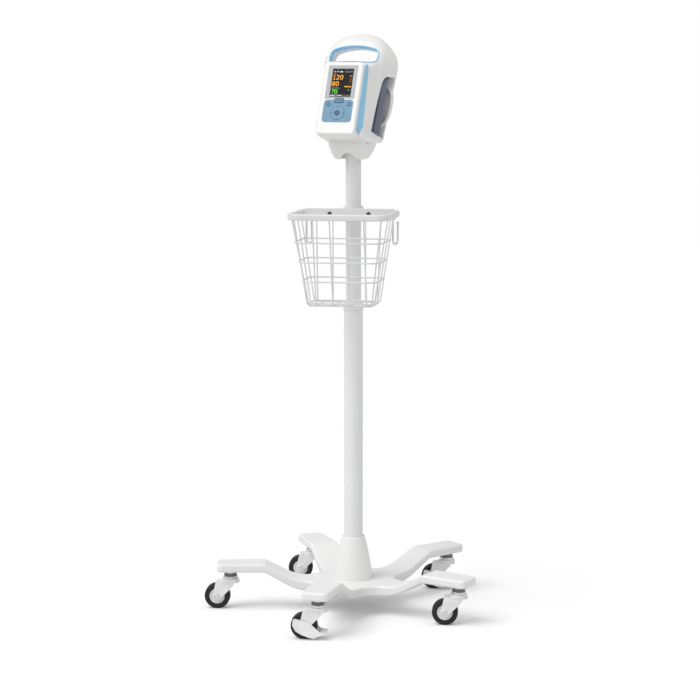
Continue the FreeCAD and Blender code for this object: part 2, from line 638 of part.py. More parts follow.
def basket_wire():
    """Welded wire cage: rings, bent wires from the front, straight ones behind, open at the top."""
    wires = []
    for level in RING_LEVELS:
        half, front = wall_offset(level)
        wires.append(ring_wire(half + WIRE_RADIUS, front + WIRE_RADIUS, level, RING_RADIUS))
    floor_half, floor_front = FLOOR_HALF_WIDTH, FLOOR_FRONT
    wires.append(ring_wire(floor_half, floor_front - 3, BASKET_FLOOR + 2.1, RING_RADIUS))
    top_half, top_front = wall_offset(RIM_BOTTOM)
    for across in FRONT_WIRES:
        wires.append(bent_wire([V(across, -WIRE_BACK, BASKET_FLOOR), V(across, -floor_front, BASKET_FLOOR),
                                V(across, -top_front, RIM_BOTTOM)], 8.0, WIRE_RADIUS))
    for across in BACK_WIRES:
        foot = min(max(across, 6 - floor_half), floor_half - 6)
        wires.append(rod(WIRE_RADIUS, V(foot, -WIRE_BACK, BASKET_FLOOR + 1),
                         V(across, -WIRE_BACK, PLATE_BOTTOM)))
    for back in SIDE_WIRES:
        wires.append(bent_wire([V(-top_half, -back, RIM_BOTTOM), V(-floor_half, -back, BASKET_FLOOR),
                                V(floor_half, -back, BASKET_FLOOR), V(top_half, -back, RIM_BOTTOM)],
                               8.0, WIRE_RADIUS))
    for side in (-1, 1):
        wires.append(rod(WIRE_RADIUS, V(side * (floor_half - 4), -(floor_front - 8), BASKET_FLOOR + 1),
                         V(side * (top_half - 5.5), -(top_front - 6.5), RIM_BOTTOM)))
    cage = moved(fuse_all(wires), x=CAGE_SHIFT)
    cage = cage.cut(box(-200, 200, -300, -WIRE_BACK - 4, RIM_BOTTOM, RIM_TOP + 50))
    return cage.cut(box(-200, 200, -WIRE_BACK - 4, 0, PLATE_BOTTOM, RIM_TOP + 50))


def basket_rim():
    """Flat rolled band round the front and sides, its ends against the back plate."""
    plate_front = PLATE_BACK + PLATE_THICKNESS
    outer = box(-RIM_HALF_WIDTH, RIM_HALF_WIDTH, -RIM_FRONT, -plate_front, RIM_BOTTOM, RIM_TOP)
    outer = outer.makeFillet(RIM_CORNER, edges_along(outer, Z_AXIS, lambda e: e.CenterOfMass.y < -100))
    wall = RIM_THICKNESS
    inner = box(-RIM_HALF_WIDTH + wall, RIM_HALF_WIDTH - wall, -RIM_FRONT + wall, -plate_front + 10,
                RIM_BOTTOM - 1, RIM_TOP + 1)
    inner = inner.makeFillet(RIM_CORNER - wall, edges_along(inner, Z_AXIS, lambda e: e.CenterOfMass.y < -100))
    band = outer.cut(inner)
    long_edges = edges_at(band, 2, RIM_TOP) + edges_at(band, 2, RIM_BOTTOM)
    long_edges = [e for e in long_edges if e.BoundBox.YMin < -plate_front - 0.1]
    return band.makeFillet(3.0, long_edges)


def basket_plate():
    """Back plate with rounded ends and two screw holes."""
    half_height = (PLATE_TOP - PLATE_BOTTOM) / 2
    middle = (PLATE_TOP + PLATE_BOTTOM) / 2
    front, back = -PLATE_BACK - PLATE_THICKNESS, -PLATE_BACK
    plate = box(-PLATE_HALF_WIDTH + half_height, PLATE_HALF_WIDTH - half_height, front, back,
                PLATE_BOTTOM, PLATE_TOP)
    for side in (-1, 1):
        centre = V(side * (PLATE_HALF_WIDTH - half_height), front, middle)
        plate = plate.fuse(Part.makeCylinder(half_height, PLATE_THICKNESS, centre, Y_AXIS))
    plate = plate.removeSplitter()
    plate = plate.makeFillet(1.2, edges_at(plate, 1, front))
    for side in (-1, 1):
        hole = Part.makeCylinder(SCREW_RADIUS + FIT, PLATE_THICKNESS + 2,
                                 V(side * SCREW_SPACING / 2, front - 1, SCREW_LEVEL), Y_AXIS)
        plate = plate.cut(hole)
    return plate


def basket_clamp():
    """Clamp round the column with two arms that carry the back plate."""
    ring = post(CLAMP_RADIUS, CLAMP_BOTTOM, CLAMP_TOP)
    arms = box(-SCREW_SPACING / 2 - 9, SCREW_SPACING / 2 + 9, -PLATE_BACK, -PLATE_BACK + 4,
               CLAMP_BOTTOM, PLATE_TOP - 1.5)
    arms = softened(arms, 1.0, edges_along(arms, Z_AXIS, lambda e: e.CenterOfMass.y > -PLATE_BACK + 1))
    ribs = [polygon([V(side * 8, -14, CLAMP_BOTTOM), V(side * 17, -8, CLAMP_BOTTOM),
                     V(side * 34, -PLATE_BACK + 2, CLAMP_BOTTOM), V(side * 25, -PLATE_BACK + 2, CLAMP_BOTTOM)]
                    ).extrude(V(0, 0, PLATE_TOP - 1.5 - CLAMP_BOTTOM)) for side in (-1, 1)]
    ears = box(-5, 5, 12, CLAMP_RADIUS + 11, CLAMP_BOTTOM, CLAMP_TOP)
    body = fuse_all([ring, arms, ears] + ribs)
    body = body.cut(post(UPPER_TUBE_RADIUS + FIT, CLAMP_BOTTOM - 1, CLAMP_TOP + 1))
    body = body.cut(box(-0.8, 0.8, UPPER_TUBE_RADIUS - 2, CLAMP_RADIUS + 12, CLAMP_BOTTOM - 1, CLAMP_TOP + 1))
    for side in (-1, 1):
        body = body.cut(Part.makeCylinder(SCREW_RADIUS, 6, V(side * SCREW_SPACING / 2, -PLATE_BACK - 1,
                                                             SCREW_LEVEL), Y_AXIS))
    return body.removeSplitter()


def basket_screws():
    screws = []
    front = -PLATE_BACK - PLATE_THICKNESS
    for side in (-1, 1):
        x = side * SCREW_SPACING / 2
        head = Part.makeCylinder(SCREW_RADIUS + 1.8, 2.4, V(x, front - 2.4, SCREW_LEVEL), Y_AXIS)
        head = head.makeFillet(1.2, edges_at(head, 1, front - 2.4))
        socket = Part.makeCylinder(1.3, 1.6, V(x, front - 3, SCREW_LEVEL), Y_AXIS)
        shank = Part.makeCylinder(SCREW_RADIUS, PLATE_THICKNESS + 3.8, V(x, front, SCREW_LEVEL), Y_AXIS)
        screws.append(head.cut(socket).fuse(shank).removeSplitter())
    return group(screws)


def basket_hooks():
    """Two cable hooks that hang from the plate's back near its ends."""
    hooks = []
    turn_x, turn_y = 0.42, 0.91
    for side in (-1, 1):
        x, y = side * HOOK_OFFSET, -PLATE_BACK + HOOK_RADIUS
        low = PLATE_TOP - 22 - HOOK_LENGTH
        far = 2 * HOOK_BEND
        points = [V(x, y, PLATE_TOP - 8), V(x, y, low), V(x + far * turn_x, y + far * turn_y, low),
                  V(x + far * turn_x, y + far * turn_y, low + HOOK_LENGTH - 5)]
        wire = bent_wire(points, HOOK_BEND - 0.02, HOOK_RADIUS)
        tip = Part.makeCylinder(HOOK_RADIUS + 0.6, 6, points[-1] - V(0, 0, 4))
        tip = tip.makeFillet(2.0, edges_at(tip, 2, points[-1].z + 2))
        hooks.append(wire.fuse(tip).removeSplitter())
    return group(hooks)


# ---------------------------------------------------------------- head
HEAD = FreeCAD.Placement(V(0, HEAD_Y, HEAD_Z), FreeCAD.Rotation(X_AXIS, -HEAD_TILT))


def head_place(shape):
    copy = shape.copy()
    copy.Placement = HEAD.multiply(copy.Placement)
    return copy


def shell_outline(depth, half, right_low, left_low, top, spring, low, fullness):
    """One section of the rear housing: flat bottom, straight sides and an arched top."""
    power = 2 / fullness
    arch_points = []
    for step in range(13):
        angle = math.pi * step / 12
        across, up = math.cos(angle), math.sin(angle)
        x = half * math.copysign(abs(across) ** power, across)
        arch_points.append(V(x, depth, spring + (top - spring) * max(up, 0.0) ** power))
    arch = Part.BSplineCurve()
    arch.interpolate(Points=arch_points, InitialTangent=V(0, 0, 1), FinalTangent=V(0, 0, -1))
    right, left = CORNER_RIGHT, CORNER_LEFT
    diagonal = 1 - math.sqrt(0.5)
    right_side, left_side = V(right_low, depth, low + right), V(-left_low, depth, low + left)
    right_foot, left_foot = V(right_low - right, depth, low), V(-left_low + left, depth, low)
    edges = [
        arch.toShape(),
        Part.LineSegment(arch_points[-1], left_side).toShape(),
        Part.Arc(left_side, V(-left_low + left * diagonal, depth, low + left * diagonal),
                 left_foot).toShape(),
        Part.LineSegment(left_foot, right_foot).toShape(),
        Part.Arc(right_foot, V(right_low - right * diagonal, depth, low + right * diagonal),
                 right_side).toShape(),
        Part.LineSegment(right_side, arch_points[0]).toShape(),
    ]
    return Part.Wire(edges)


def shell_body():
    sections = [shell_outline(*section) for section in SHELL_SECTIONS]
    return Part.makeLoft(sections, True, False)


def handle_outline(grow, depth):
    """Outline of the handle opening, level below and gently arched above, grown all round."""
    half, low, top = HOLE_HALF_WIDTH + grow, HOLE_BOTTOM - grow, HOLE_TOP + grow
    corner = HOLE_CORNER + grow
    end_top = top - HOLE_RISE
    diagonal = corner * (1 - math.sqrt(0.5))
    points = [V(half, depth, low + corner), V(half, depth, end_top - corner)]
    upper_right = [points[1], V(half - diagonal, depth, end_top - diagonal + 0.6),
                   V(half - corner, depth, end_top + 1.6)]
    upper_left = [V(-p.x, p.y, p.z) for p in reversed(upper_right)]
    arch = Part.Arc(upper_right[-1], V(0, depth, top), upper_left[0]).toShape()
    return Part.Wire([
        Part.LineSegment(points[0], points[1]).toShape(),
        Part.Arc(*upper_right).toShape(),
        arch,
        Part.Arc(*upper_left).toShape(),
        Part.LineSegment(upper_left[-1], V(-half, depth, low + corner)).toShape(),
        Part.Arc(V(-half, depth, low + corner), V(-half + diagonal, depth, low + diagonal),
                 V(-half + corner, depth, low)).toShape(),
        Part.LineSegment(V(-half + corner, depth, low), V(half - corner, depth, low)).toShape(),
        Part.Arc(V(half - corner, depth, low), V(half - diagonal, depth, low + diagonal),
                 points[0]).toShape(),
    ])


def handle_prism(grow, near, far):
    return Part.Face(handle_outline(grow, near)).extrude(V(0, far - near, 0))


def rear_housing():
    shell = shell_body()
    behind = ((62, 214), (99, 120), (103, 100), (140, 100), (140, 260), (62, 260))
    shell = shell.cut(polygon([V(-200, y, z) for y, z in behind]).extrude(V(400, 0, 0)))
    shell = shell.cut(handle_prism(LINER_WALL, -20, HANDLE_WALL_REAR + 1))
    shell = shell.cut(handle_prism(5, HANDLE_WALL_REAR + 1, 160))
    shell = shell.cut(electronics_space())
    shell = shell.cut(bay_space())
    battery_space = box(-BATTERY_HALF - 0.6, BATTERY_HALF + 0.6, BATTERY_FRONT - 0.6,
                        REAR_FACE + 1, DOOR_BOTTOM + 5, DOOR_TOP - 5)
    door_space = box(-DOOR_HALF_WIDTH - 0.3, DOOR_HALF_WIDTH + 0.3, REAR_FACE - DOOR_THICKNESS - 0.2,
                     REAR_FACE + 1, DOOR_BOTTOM - 0.3, DOOR_TOP + 0.3)
    hinge = Part.makeCylinder(1.2 + 0.25, 2 * DOOR_HALF_WIDTH + 7,
                              V(-DOOR_HALF_WIDTH - 3.5, REAR_FACE - 1.7, DOOR_BOTTOM + 1.6), X_AXIS)
    port = Part.makeCylinder(BARB_RADIUS, 12, V(BAY_INNER - 10, HOSE_DEPTH, HOSE_POINTS[0][1]), X_AXIS)
    for cutter in (battery_space, door_space, hinge, port):
        shell = shell.cut(cutter)
    for x, z in HOUSING_SCREWS:
        shell = shell.cut(Part.makeCylinder(4.0, 5, V(x, REAR_FACE - 4, z), Y_AXIS))
        shell = shell.cut(Part.makeCylinder(SCREW_RADIUS, 20, V(x, REAR_FACE - 16, z), Y_AXIS))
    return largest(shell)


def electronics_space():
    """Hollow of the rear housing, left of the cuff bay, with a floor that follows the underside."""
    near, far, right = FACE_DEPTH - 1, REAR_FACE - 6, BAY_INNER - SHELL_WALL
    plan = ((-36, near), (-42, 84), (-38, far), (right, far), (right, near))
    space = polygon([V(x, y, -30) for x, y in plan]).extrude(V(0, 0, 30 + ELECTRONICS_TOP))
    floor = [(section[0], section[6] + SHELL_WALL) for section in SHELL_SECTIONS]
    under = [(0, -60), (0, floor[0][1])] + floor + [(120, -60)]
    space = space.cut(polygon([V(-100, y, z) for y, z in under]).extrude(V(200, 0, 0)))
    keep = box(-DOOR_HALF_WIDTH - 4, DOOR_HALF_WIDTH + 4, BATTERY_FRONT - 3, 130,
               DOOR_BOTTOM - 4, DOOR_TOP + 4)
    return space.cut(keep)


def bay_space():
    """The cuff bay, open to the right: its front edge leans back towards the top."""
    outline = [V(BAY_INNER, y, z) for y, z in BAY_EDGE] + [V(BAY_INNER, BAY_REAR, BAY_FLOOR)]
    return polygon(outline).extrude(V(80, 0, 0))


def largest(shape):
    return sorted(shape.Solids, key=lambda solid: solid.Volume)[-1]


def front_housing():
    body = box(-FACE_HALF_WIDTH, FACE_HALF_WIDTH, 0, FACE_DEPTH, FACE_BOTTOM, FACE_TOP)
    body = body.makeFillet(FACE_CORNER, edges_along(body, Y_AXIS))
    body = body.makeFillet(4.0, edges_at(body, 1, 0))
    inside = box(-FACE_HALF_WIDTH + SHELL_WALL, FACE_HALF_WIDTH - SHELL_WALL, 4.4, FACE_DEPTH + 1,
                 FACE_BOTTOM + SHELL_WALL, FACE_TOP - SHELL_WALL)
    inside = inside.makeFillet(FACE_CORNER - SHELL_WALL, edges_along(inside, Y_AXIS))
    body = body.cut(inside)
    body = body.cut(panel_block(BEZEL_HALF_WIDTH, BEZEL_BOTTOM, BEZEL_TOP, 2.0, 0.05, 0))
    body = body.cut(panel_block(KEYPAD_HALF_WIDTH, KEYPAD_BOTTOM, KEYPAD_TOP, 7.0, 0.05, 0))
    body = body.cut(box(-SCREEN_HALF_WIDTH, SCREEN_HALF_WIDTH, -1, 6, SCREEN_BOTTOM, SCREEN_TOP))
    for cutter in key_cutters(KEY_PLAY, 8.0):
        body = body.cut(cutter)
    for side in (-1, 1):
        inner, outer = sorted((side * (FACE_HALF_WIDTH - 1.6), side * 45))
        body = body.cut(box(inner, outer, STRIP_FRONT, 30, STRIP_BOTTOM, STRIP_TOP))
    for x, z in BOARD_SCREWS:
        boss = Part.makeCylinder(3.2, BOARD_FRONT - 4.0, V(x, 4.0, z), Y_AXIS)
        body = body.fuse(boss)
    return body.removeSplitter()


def panel_block(half, low, high, corner, play, depth_from):
    """Flush panel outline with rounded corners, grown by a play, as a block behind the face."""
    block = box(-half - play, half + play, depth_from - 1, PANEL_DEPTH, low - play, high + play)
    return block.makeFillet(corner, edges_along(block, Y_AXIS))


def front_face_only(block):
    return block.common(box(-100, 100, 0, 50, -100, 200))


def start_outline(play, y0, y1):
    block = box(-START_HALF_WIDTH - play, START_HALF_WIDTH + play, y0, y1,
                START_BOTTOM - play, START_TOP + play)
    return block.makeFillet(4.6, edges_along(block, Y_AXIS))


def round_cutter(x, z, radius, y0, y1):
    return Part.makeCylinder(radius, y1 - y0, V(x, y0, z), Y_AXIS)


def key_cutters(play, depth):
    """The holes that the keys pass through."""
    return [start_outline(play, -2, depth),
            round_cutter(-ROUND_KEY_X, ROUND_KEY_Z, ROUND_KEY_RADIUS + play, -2, depth),
            round_cutter(ROUND_KEY_X, ROUND_KEY_Z, ROUND_KEY_RADIUS + play, -2, depth),
            round_cutter(0, NAV_Z, NAV_RADIUS + 2 * play, -2, depth)]


def screen_bezel():
    plate = panel_block(BEZEL_HALF_WIDTH, BEZEL_BOTTOM, BEZEL_TOP, 2.0, 0, 0)
    plate = front_face_only(plate)
    plate = plate.cut(box(-SCREEN_HALF_WIDTH, SCREEN_HALF_WIDTH, -1, 3, SCREEN_BOTTOM, SCREEN_TOP))
    return plate.cut(start_outline(KEY_PLAY, -2, 4))


def keypad_panel():
    plate = front_face_only(panel_block(KEYPAD_HALF_WIDTH, KEYPAD_BOTTOM, KEYPAD_TOP, 7.0, 0, 0))
    for cutter in key_cutters(KEY_PLAY, 4.0):
        plate = plate.cut(cutter)
    return plate


def key_with_stem(cap, x, z):
    stem = round_cutter(x, z, 2.0, KEY_BACK, BOARD_FRONT - KEY_TRAVEL - 0.3)
    return cap.fuse(stem).removeSplitter()


def start_key():
    cap = start_outline(0, -KEY_PROUD, KEY_BACK)
    cap = cap.makeFillet(0.6, edges_at(cap, 1, -KEY_PROUD))
    return key_with_stem(cap, 0, (START_BOTTOM + START_TOP) / 2)


def round_key(side):
    cap = round_cutter(side * ROUND_KEY_X, ROUND_KEY_Z, ROUND_KEY_RADIUS, -KEY_PROUD, KEY_BACK)
    cap = cap.makeFillet(0.6, edges_at(cap, 1, -KEY_PROUD))
    return key_with_stem(cap, side * ROUND_KEY_X, ROUND_KEY_Z)


def nav_ring():
    ring = round_cutter(0, NAV_Z, NAV_RADIUS, -KEY_PROUD, 2.2)
    ring = ring.makeFillet(0.6, edges_at(ring, 1, -KEY_PROUD))
    ring = ring.cut(round_cutter(0, NAV_Z, NAV_HOLE, -5, 5))
    for side in (-1, 1):
        start = V(side * (NAV_HOLE + 2.2), NAV_PIVOT_DEPTH, NAV_Z)
        ring = ring.fuse(box(min(start.x, start.x + side * 2.4), max(start.x, start.x + side * 2.4),
                             2.0, NAV_PIVOT_DEPTH + 1.2, NAV_Z - 1.2, NAV_Z + 1.2))
    return ring.removeSplitter()


def nav_gimbal():
    """Inner carrier of the direction ring: it rocks left and right, the ring rocks up and down on it."""
    body = round_cutter(0, NAV_Z, NAV_HOLE + 6.6, NAV_PIVOT_DEPTH - 0.9, NAV_PIVOT_DEPTH + 1.5)
    body = body.cut(round_cutter(0, NAV_Z, NAV_HOLE, -5, 15))
    for side in (-1, 1):
        slot_low, slot_high = sorted((side * (NAV_HOLE + 1.8), side * (NAV_HOLE + 5.0)))
        body = body.cut(box(slot_low, slot_high, 0, 20, NAV_Z - 1.7, NAV_Z + 1.7))
    return body


def select_key():
    cap = round_cutter(0, NAV_Z, SELECT_RADIUS, -KEY_PROUD - 0.3, KEY_BACK)
    cap = cap.makeFillet(0.7, edges_at(cap, 1, -KEY_PROUD - 0.3))
    return key_with_stem(cap, 0, NAV_Z)


def side_strips():
    """Coloured trim in the step between the two housings, one each side, pointed at both ends."""
    strips = []
    for side in (-1, 1):
        inner = side * (FACE_HALF_WIDTH - 1.5)
        rows = []
        for z, outer in STRIP_WIDTHS:
            near = FACE_DEPTH - 0.1
            rows.append(Part.makePolygon([V(inner, STRIP_FRONT + 0.1, z),
                                          V(side * (FACE_HALF_WIDTH + 0.2), STRIP_FRONT + 0.1, z),
                                          V(side * (FACE_HALF_WIDTH + outer), near, z),
                                          V(inner, near, z),
                                          V(inner, STRIP_FRONT + 0.1, z)]))
        strip = Part.makeLoft(rows, True, True)
        front_low = polygon([V(0, STRIP_FRONT - 5, STRIP_BOTTOM - 1), V(0, FACE_DEPTH - 5, STRIP_BOTTOM - 1),
                             V(0, STRIP_FRONT - 5, STRIP_BOTTOM + 16)])
        front_high = polygon([V(0, STRIP_FRONT - 5, STRIP_TOP + 1), V(0, FACE_DEPTH - 5, STRIP_TOP + 1),
                              V(0, STRIP_FRONT - 5, STRIP_TOP - 16)])
        for wedge in (front_low, front_high):
            strip = strip.cut(wedge.extrude(V(side * 60, 0, 0)))
        strips.append(strip)
    return group(strips)


def handle_trim():
    """Coloured liner of the handle opening, its front end shaped like the housing round it."""
    sleeve = handle_prism(LINER_WALL - 0.05, 0, HANDLE_WALL_REAR + 1).cut(handle_prism(0, -10, 90))
    sleeve = sleeve.common(grown_shell())
    return largest(sleeve)


def grown_shell():
    """The rear housing's outer form, a little larger, so that the liner's lip stands proud."""
    sections = [shell_outline(depth - 1.2, half + 0.4, right, left, top + 0.4, spring, low, fullness)
                for depth, half, right, left, top, spring, low, fullness in SHELL_SECTIONS]
    return Part.makeLoft(sections, True, False)


def screen_window():
    edge = 1.4
    return box(-SCREEN_HALF_WIDTH - edge, SCREEN_HALF_WIDTH + edge, 4.45, 5.45,
               SCREEN_BOTTOM - edge, SCREEN_TOP + edge)


def lcd_module():
    return box(-25, 25, 5.5, 8.7, SCREEN_BOTTOM - 5, SCREEN_TOP + 3)


def main_board():
    board = box(-33, 33, BOARD_FRONT, BOARD_FRONT + 1.6, -16, 119)
    for x, z in ((-24, 95), (14, 60)):
        board = board.fuse(box(x, x + 14, BOARD_FRONT + 1.5, BOARD_FRONT + 4, z, z + 14))
    for x, z in BOARD_SCREWS:
        board = board.cut(Part.makeCylinder(1.2, 5, V(x, BOARD_FRONT - 1, z), Y_AXIS))
    return board.removeSplitter()


def air_pump():
    motor = Part.makeCylinder(12, 30, V(-16, 36, 84), Z_AXIS)
    head = Part.makeCylinder(13.5, 14, V(-16, 36, 70), Z_AXIS)
    spout = Part.makeCylinder(2.4, 10, V(-16, 36, 61), Z_AXIS)
    return fuse_all([motor, head, spout])


def battery_pack():
    pack = box(-BATTERY_HALF, BATTERY_HALF, BATTERY_FRONT, REAR_FACE - DOOR_THICKNESS - 0.6,
               DOOR_BOTTOM + 5.6, DOOR_TOP - 5.6)
    return pack.makeFillet(2.0, edges_along(pack, X_AXIS))


def battery_door():
    door = box(-DOOR_HALF_WIDTH, DOOR_HALF_WIDTH, REAR_FACE - DOOR_THICKNESS, REAR_FACE,
               DOOR_BOTTOM + 1.6, DOOR_TOP)
    knuckle = Part.makeCylinder(1.2, 2 * DOOR_HALF_WIDTH + 6,
                                V(-DOOR_HALF_WIDTH - 3, REAR_FACE - 1.7, DOOR_BOTTOM + 1.6), X_AXIS)
    notch = Part.makeCylinder(4.0, 3, V(0, REAR_FACE - 0.9, DOOR_TOP - 5), Y_AXIS)
    return door.fuse(knuckle).removeSplitter().cut(notch)


def cuff():
    """Folded cuff standing in the bay, bulged on its outer side, with the port for its hose."""
    plan = ((37.5, 50), (58.5, 50), (64.5, 55.5), (67.3, 62), (66.6, 68), (63.5, 73.5), (58, 76.2),
            (37.5, 76.2))
    roll = polygon([V(x, y, BAY_FLOOR + 0.6) for x, y in plan]).extrude(V(0, 0, 116))
    edge = [V(30, y + 1.6, z - 1.0) for y, z in BAY_EDGE]
    above = edge + [V(30, 90, 140), V(30, 20, 140), V(30, 20, -20), V(30, 44.9, -20)]
    roll = roll.cut(polygon(above).extrude(V(60, 0, 0)))
    port = Part.makeCylinder(CUFF_PORT_RADIUS, 8.2, V(CUFF_PORT[0], 76, CUFF_PORT[1]), Y_AXIS)
    return roll.fuse(port).removeSplitter()


def hose_route():
    """Route of the air hose: out of the bay's port, down in a bow and in to the cuff's port."""
    return [V(x, HOSE_DEPTH, z) for x, z in HOSE_POINTS]


def air_hose():
    points = hose_route()
    edges, radii = [], []
    start = points[0]
    for index in range(1, len(points) - 1):
        corner = points[index]
        before, after = points[index - 1].sub(corner), points[index + 1].sub(corner)
        shorter = min(before.Length, after.Length)
        before, after = before.normalize(), after.normalize()
        half_turn = (math.pi - math.acos(before.dot(after))) / 2
        radius = HOSE_BEND * shorter / math.tan(half_turn)
        radii.append(round(radius, 1))
        setback = radius * math.tan(half_turn)
        inward = (before + after).normalize()
        middle = corner + inward * (radius / math.cos(half_turn) - radius)
        enter, leave = corner + before * setback, corner + after * setback
        edges.append(Part.LineSegment(start, enter).toShape())
        edges.append(Part.Arc(enter, middle, leave).toShape())
        start = leave
    edges.append(Part.LineSegment(start, points[-1]).toShape())
    print("air hose bend radii, mm:", radii)
    path = Part.Wire(edges)
    section = Part.Wire([Part.Circle(points[0], points[1].sub(points[0]), HOSE_RADIUS).toShape()])
    return path.makePipeShell([section], True, False)


def hose_connector():
    """Flanged connector pressed into the bay's inner wall; the hose is pushed up to its flange."""
    end = V(HOSE_POINTS[0][0], HOSE_DEPTH, HOSE_POINTS[0][1])
    flange = Part.makeCylinder(BARB_RADIUS + 0.2, end.x - BAY_INNER, V(BAY_INNER, end.y, end.z), X_AXIS)
    barb = Part.makeCylinder(BARB_RADIUS - 0.4, 8, V(BAY_INNER - 8, end.y, end.z), X_AXIS)
    return fuse_all([flange, barb])


def head_screws():
    """Identical pan-head screws: four hold the housings together, one locks the cradle."""
    screws = []
    for x, z in HOUSING_SCREWS:
        screws.append(head_place(pan_screw(V(x, REAR_FACE - 1.6, z), Y_AXIS)))
    screws.append(pan_screw(V(0, BUCKET_BACK + 2.4, BUCKET_SCREW_Z), Y_AXIS))
    return group(screws)


def pan_screw(crown, outward):
    """Screw whose head's crown is at a point and whose shank runs the other way."""
    head = Part.makeCylinder(3.8, 2.4, crown - outward * 2.4, outward)
    shank = Part.makeCylinder(SCREW_RADIUS, 12, crown - outward * 14.4, outward)
    slot = Part.makeCylinder(1.2, 1.4, crown - outward * 1.4, outward)
    return head.fuse(shank).removeSplitter().cut(slot)


def bucket_section(half_x, front, back, corner, level):
    block = rounded_box(-half_x, half_x, front, back, level, level + 1, corner)
    return [face.OuterWire for face in block.Faces if abs(face.BoundBox.ZMax - level) < 0.01][0]


def bucket_mount():
    """Cradle under the head: a tapered tray with a socket for the column and an arched front notch."""
    wires = [bucket_section(*section) for section in BUCKET_SECTIONS]
    body = Part.makeLoft(wires, True, False)
    hollow = rounded_box(-25, 25, -23, 4, 870, UPPER_TUBE_TOP - 6, 8)
    body = body.cut(hollow)
    socket = post(UPPER_TUBE_RADIUS + 3.4, NOTCH_TOP - 6, SEAT_HEIGHT - 2)
    body = body.fuse(socket).removeSplitter()
    body = body.cut(post(UPPER_TUBE_RADIUS, 860, UPPER_TUBE_TOP))
    crown_level = NOTCH_TOP - NOTCH_RADIUS
    notch = box(-NOTCH_RADIUS, NOTCH_RADIUS, -80, 0, 860, crown_level)
    crown = Part.makeCylinder(NOTCH_RADIUS, 80, V(0, -80, crown_level), Y_AXIS)
    body = body.cut(notch).cut(crown)
    body = body.cut(Part.makeCylinder(SCREW_RADIUS, 40, V(0, 8, BUCKET_SCREW_Z), Y_AXIS))
    body = body.cut(head_place(shell_body()))
    rear_deck = box(-80, 80, -30, 80, SEAT_HEIGHT, 960)
    return largest(body.cut(rear_deck))


# ---------------------------------------------------------------- output
BASKET_PARTS = {
    "basket_wire": basket_wire, "basket_rim": basket_rim, "basket_plate": basket_plate,
    "basket_clamp": basket_clamp, "basket_screws": basket_screws, "basket_hooks": basket_hooks,
}
HEAD_PARTS = {
    "front_housing": front_housing, "rear_housing": rear_housing, "side_strips": side_strips,
    "handle_trim": handle_trim, "screen_bezel": screen_bezel, "screen_window": screen_window,
    "lcd_module": lcd_module, "keypad_panel": keypad_panel, "start_key": start_key,
    "left_key": lambda: round_key(-1), "right_key": lambda: round_key(1), "nav_gimbal": nav_gimbal,
    "nav_ring": nav_ring, "select_key": select_key, "main_board": main_board, "air_pump": air_pump,
    "battery_pack": battery_pack, "battery_door": battery_door, "cuff": cuff, "air_hose": air_hose,
    "hose_connector": hose_connector,
}
ROOT_PARTS = {
    "base_star": base_star, "base_bolt": base_bolt, "pole_shroud": pole_shroud,
    "lower_tube": lower_tube, "tube_collar": tube_collar, "upper_tube": upper_tube,
    "bucket_mount": bucket_mount, "head_screws": head_screws,
}

os.makedirs("parts", exist_ok=True)
for name, make in ROOT_PARTS.items():
    write(name, make())
for name, make in BASKET_PARTS.items():
    write(name, basket_place(make()))
for name, make in HEAD_PARTS.items():
    write(name, head_place(make()))
caster_parts()
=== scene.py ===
import json
import math

import bmesh
import bpy
from mathutils import Matrix, Vector, noise


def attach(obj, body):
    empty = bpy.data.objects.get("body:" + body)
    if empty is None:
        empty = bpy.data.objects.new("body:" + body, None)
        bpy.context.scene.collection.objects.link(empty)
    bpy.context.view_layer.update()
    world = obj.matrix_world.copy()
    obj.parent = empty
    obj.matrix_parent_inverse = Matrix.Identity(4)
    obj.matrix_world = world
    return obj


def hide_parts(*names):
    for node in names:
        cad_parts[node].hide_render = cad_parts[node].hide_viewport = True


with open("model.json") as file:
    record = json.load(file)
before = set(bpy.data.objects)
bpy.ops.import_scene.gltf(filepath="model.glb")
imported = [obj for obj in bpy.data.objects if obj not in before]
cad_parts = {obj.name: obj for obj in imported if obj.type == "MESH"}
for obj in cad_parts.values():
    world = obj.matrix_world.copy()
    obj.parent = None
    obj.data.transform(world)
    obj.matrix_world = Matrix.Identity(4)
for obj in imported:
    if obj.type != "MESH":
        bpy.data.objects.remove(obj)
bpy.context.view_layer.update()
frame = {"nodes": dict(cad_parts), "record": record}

MM = 0.001

# the monitor head is built upright with its face on the plane Y = 0, then tilted back and lifted
HEAD_TILT = math.radians(22.9)
HEAD = Matrix.Translation((0, -0.095, 0.952)) @ Matrix.Rotation(-HEAD_TILT, 4, "X") @ Matrix.Scale(MM, 4)
KEY_FACE = -0.7            # depth of the front face of the keys, which stand proud of the keypad
NAV_Z = 19.5

# the cuff bay's front and top edge seen from the side, and the cuff's plan, as in the CAD model
BAY_EDGE = ((44.5, 1.0), (49.0, 59.0), (54.0, 104.0), (57.0, 112.0), (61.5, 117.5), (67.0, 120.5),
            (85.0, 125.0))
CUFF_PLAN = ((38.2, 50.6), (58.3, 50.6), (64.0, 56.0), (66.6, 62.0), (66.0, 67.8), (63.0, 73.0),
             (57.8, 75.6), (38.2, 75.6))
CUFF_PORT = (44.5, 20.0)
HOSE_DEPTH = 80.6
HOSE_RADIUS = 3.2
HOSE_POINTS = ((39.0, 109.0), (57.0, 109.0), (73.5, 92.5), (74.5, 66.0), (71.8, 44.0), (64.2, 28.0),
               (48.6, 21.7))

X_AXIS, Y_AXIS, Z_AXIS = Vector((1, 0, 0)), Vector((0, 1, 0)), Vector((0, 0, 1))


def head(x, y, z):
    return HEAD @ Vector((x, y, z))


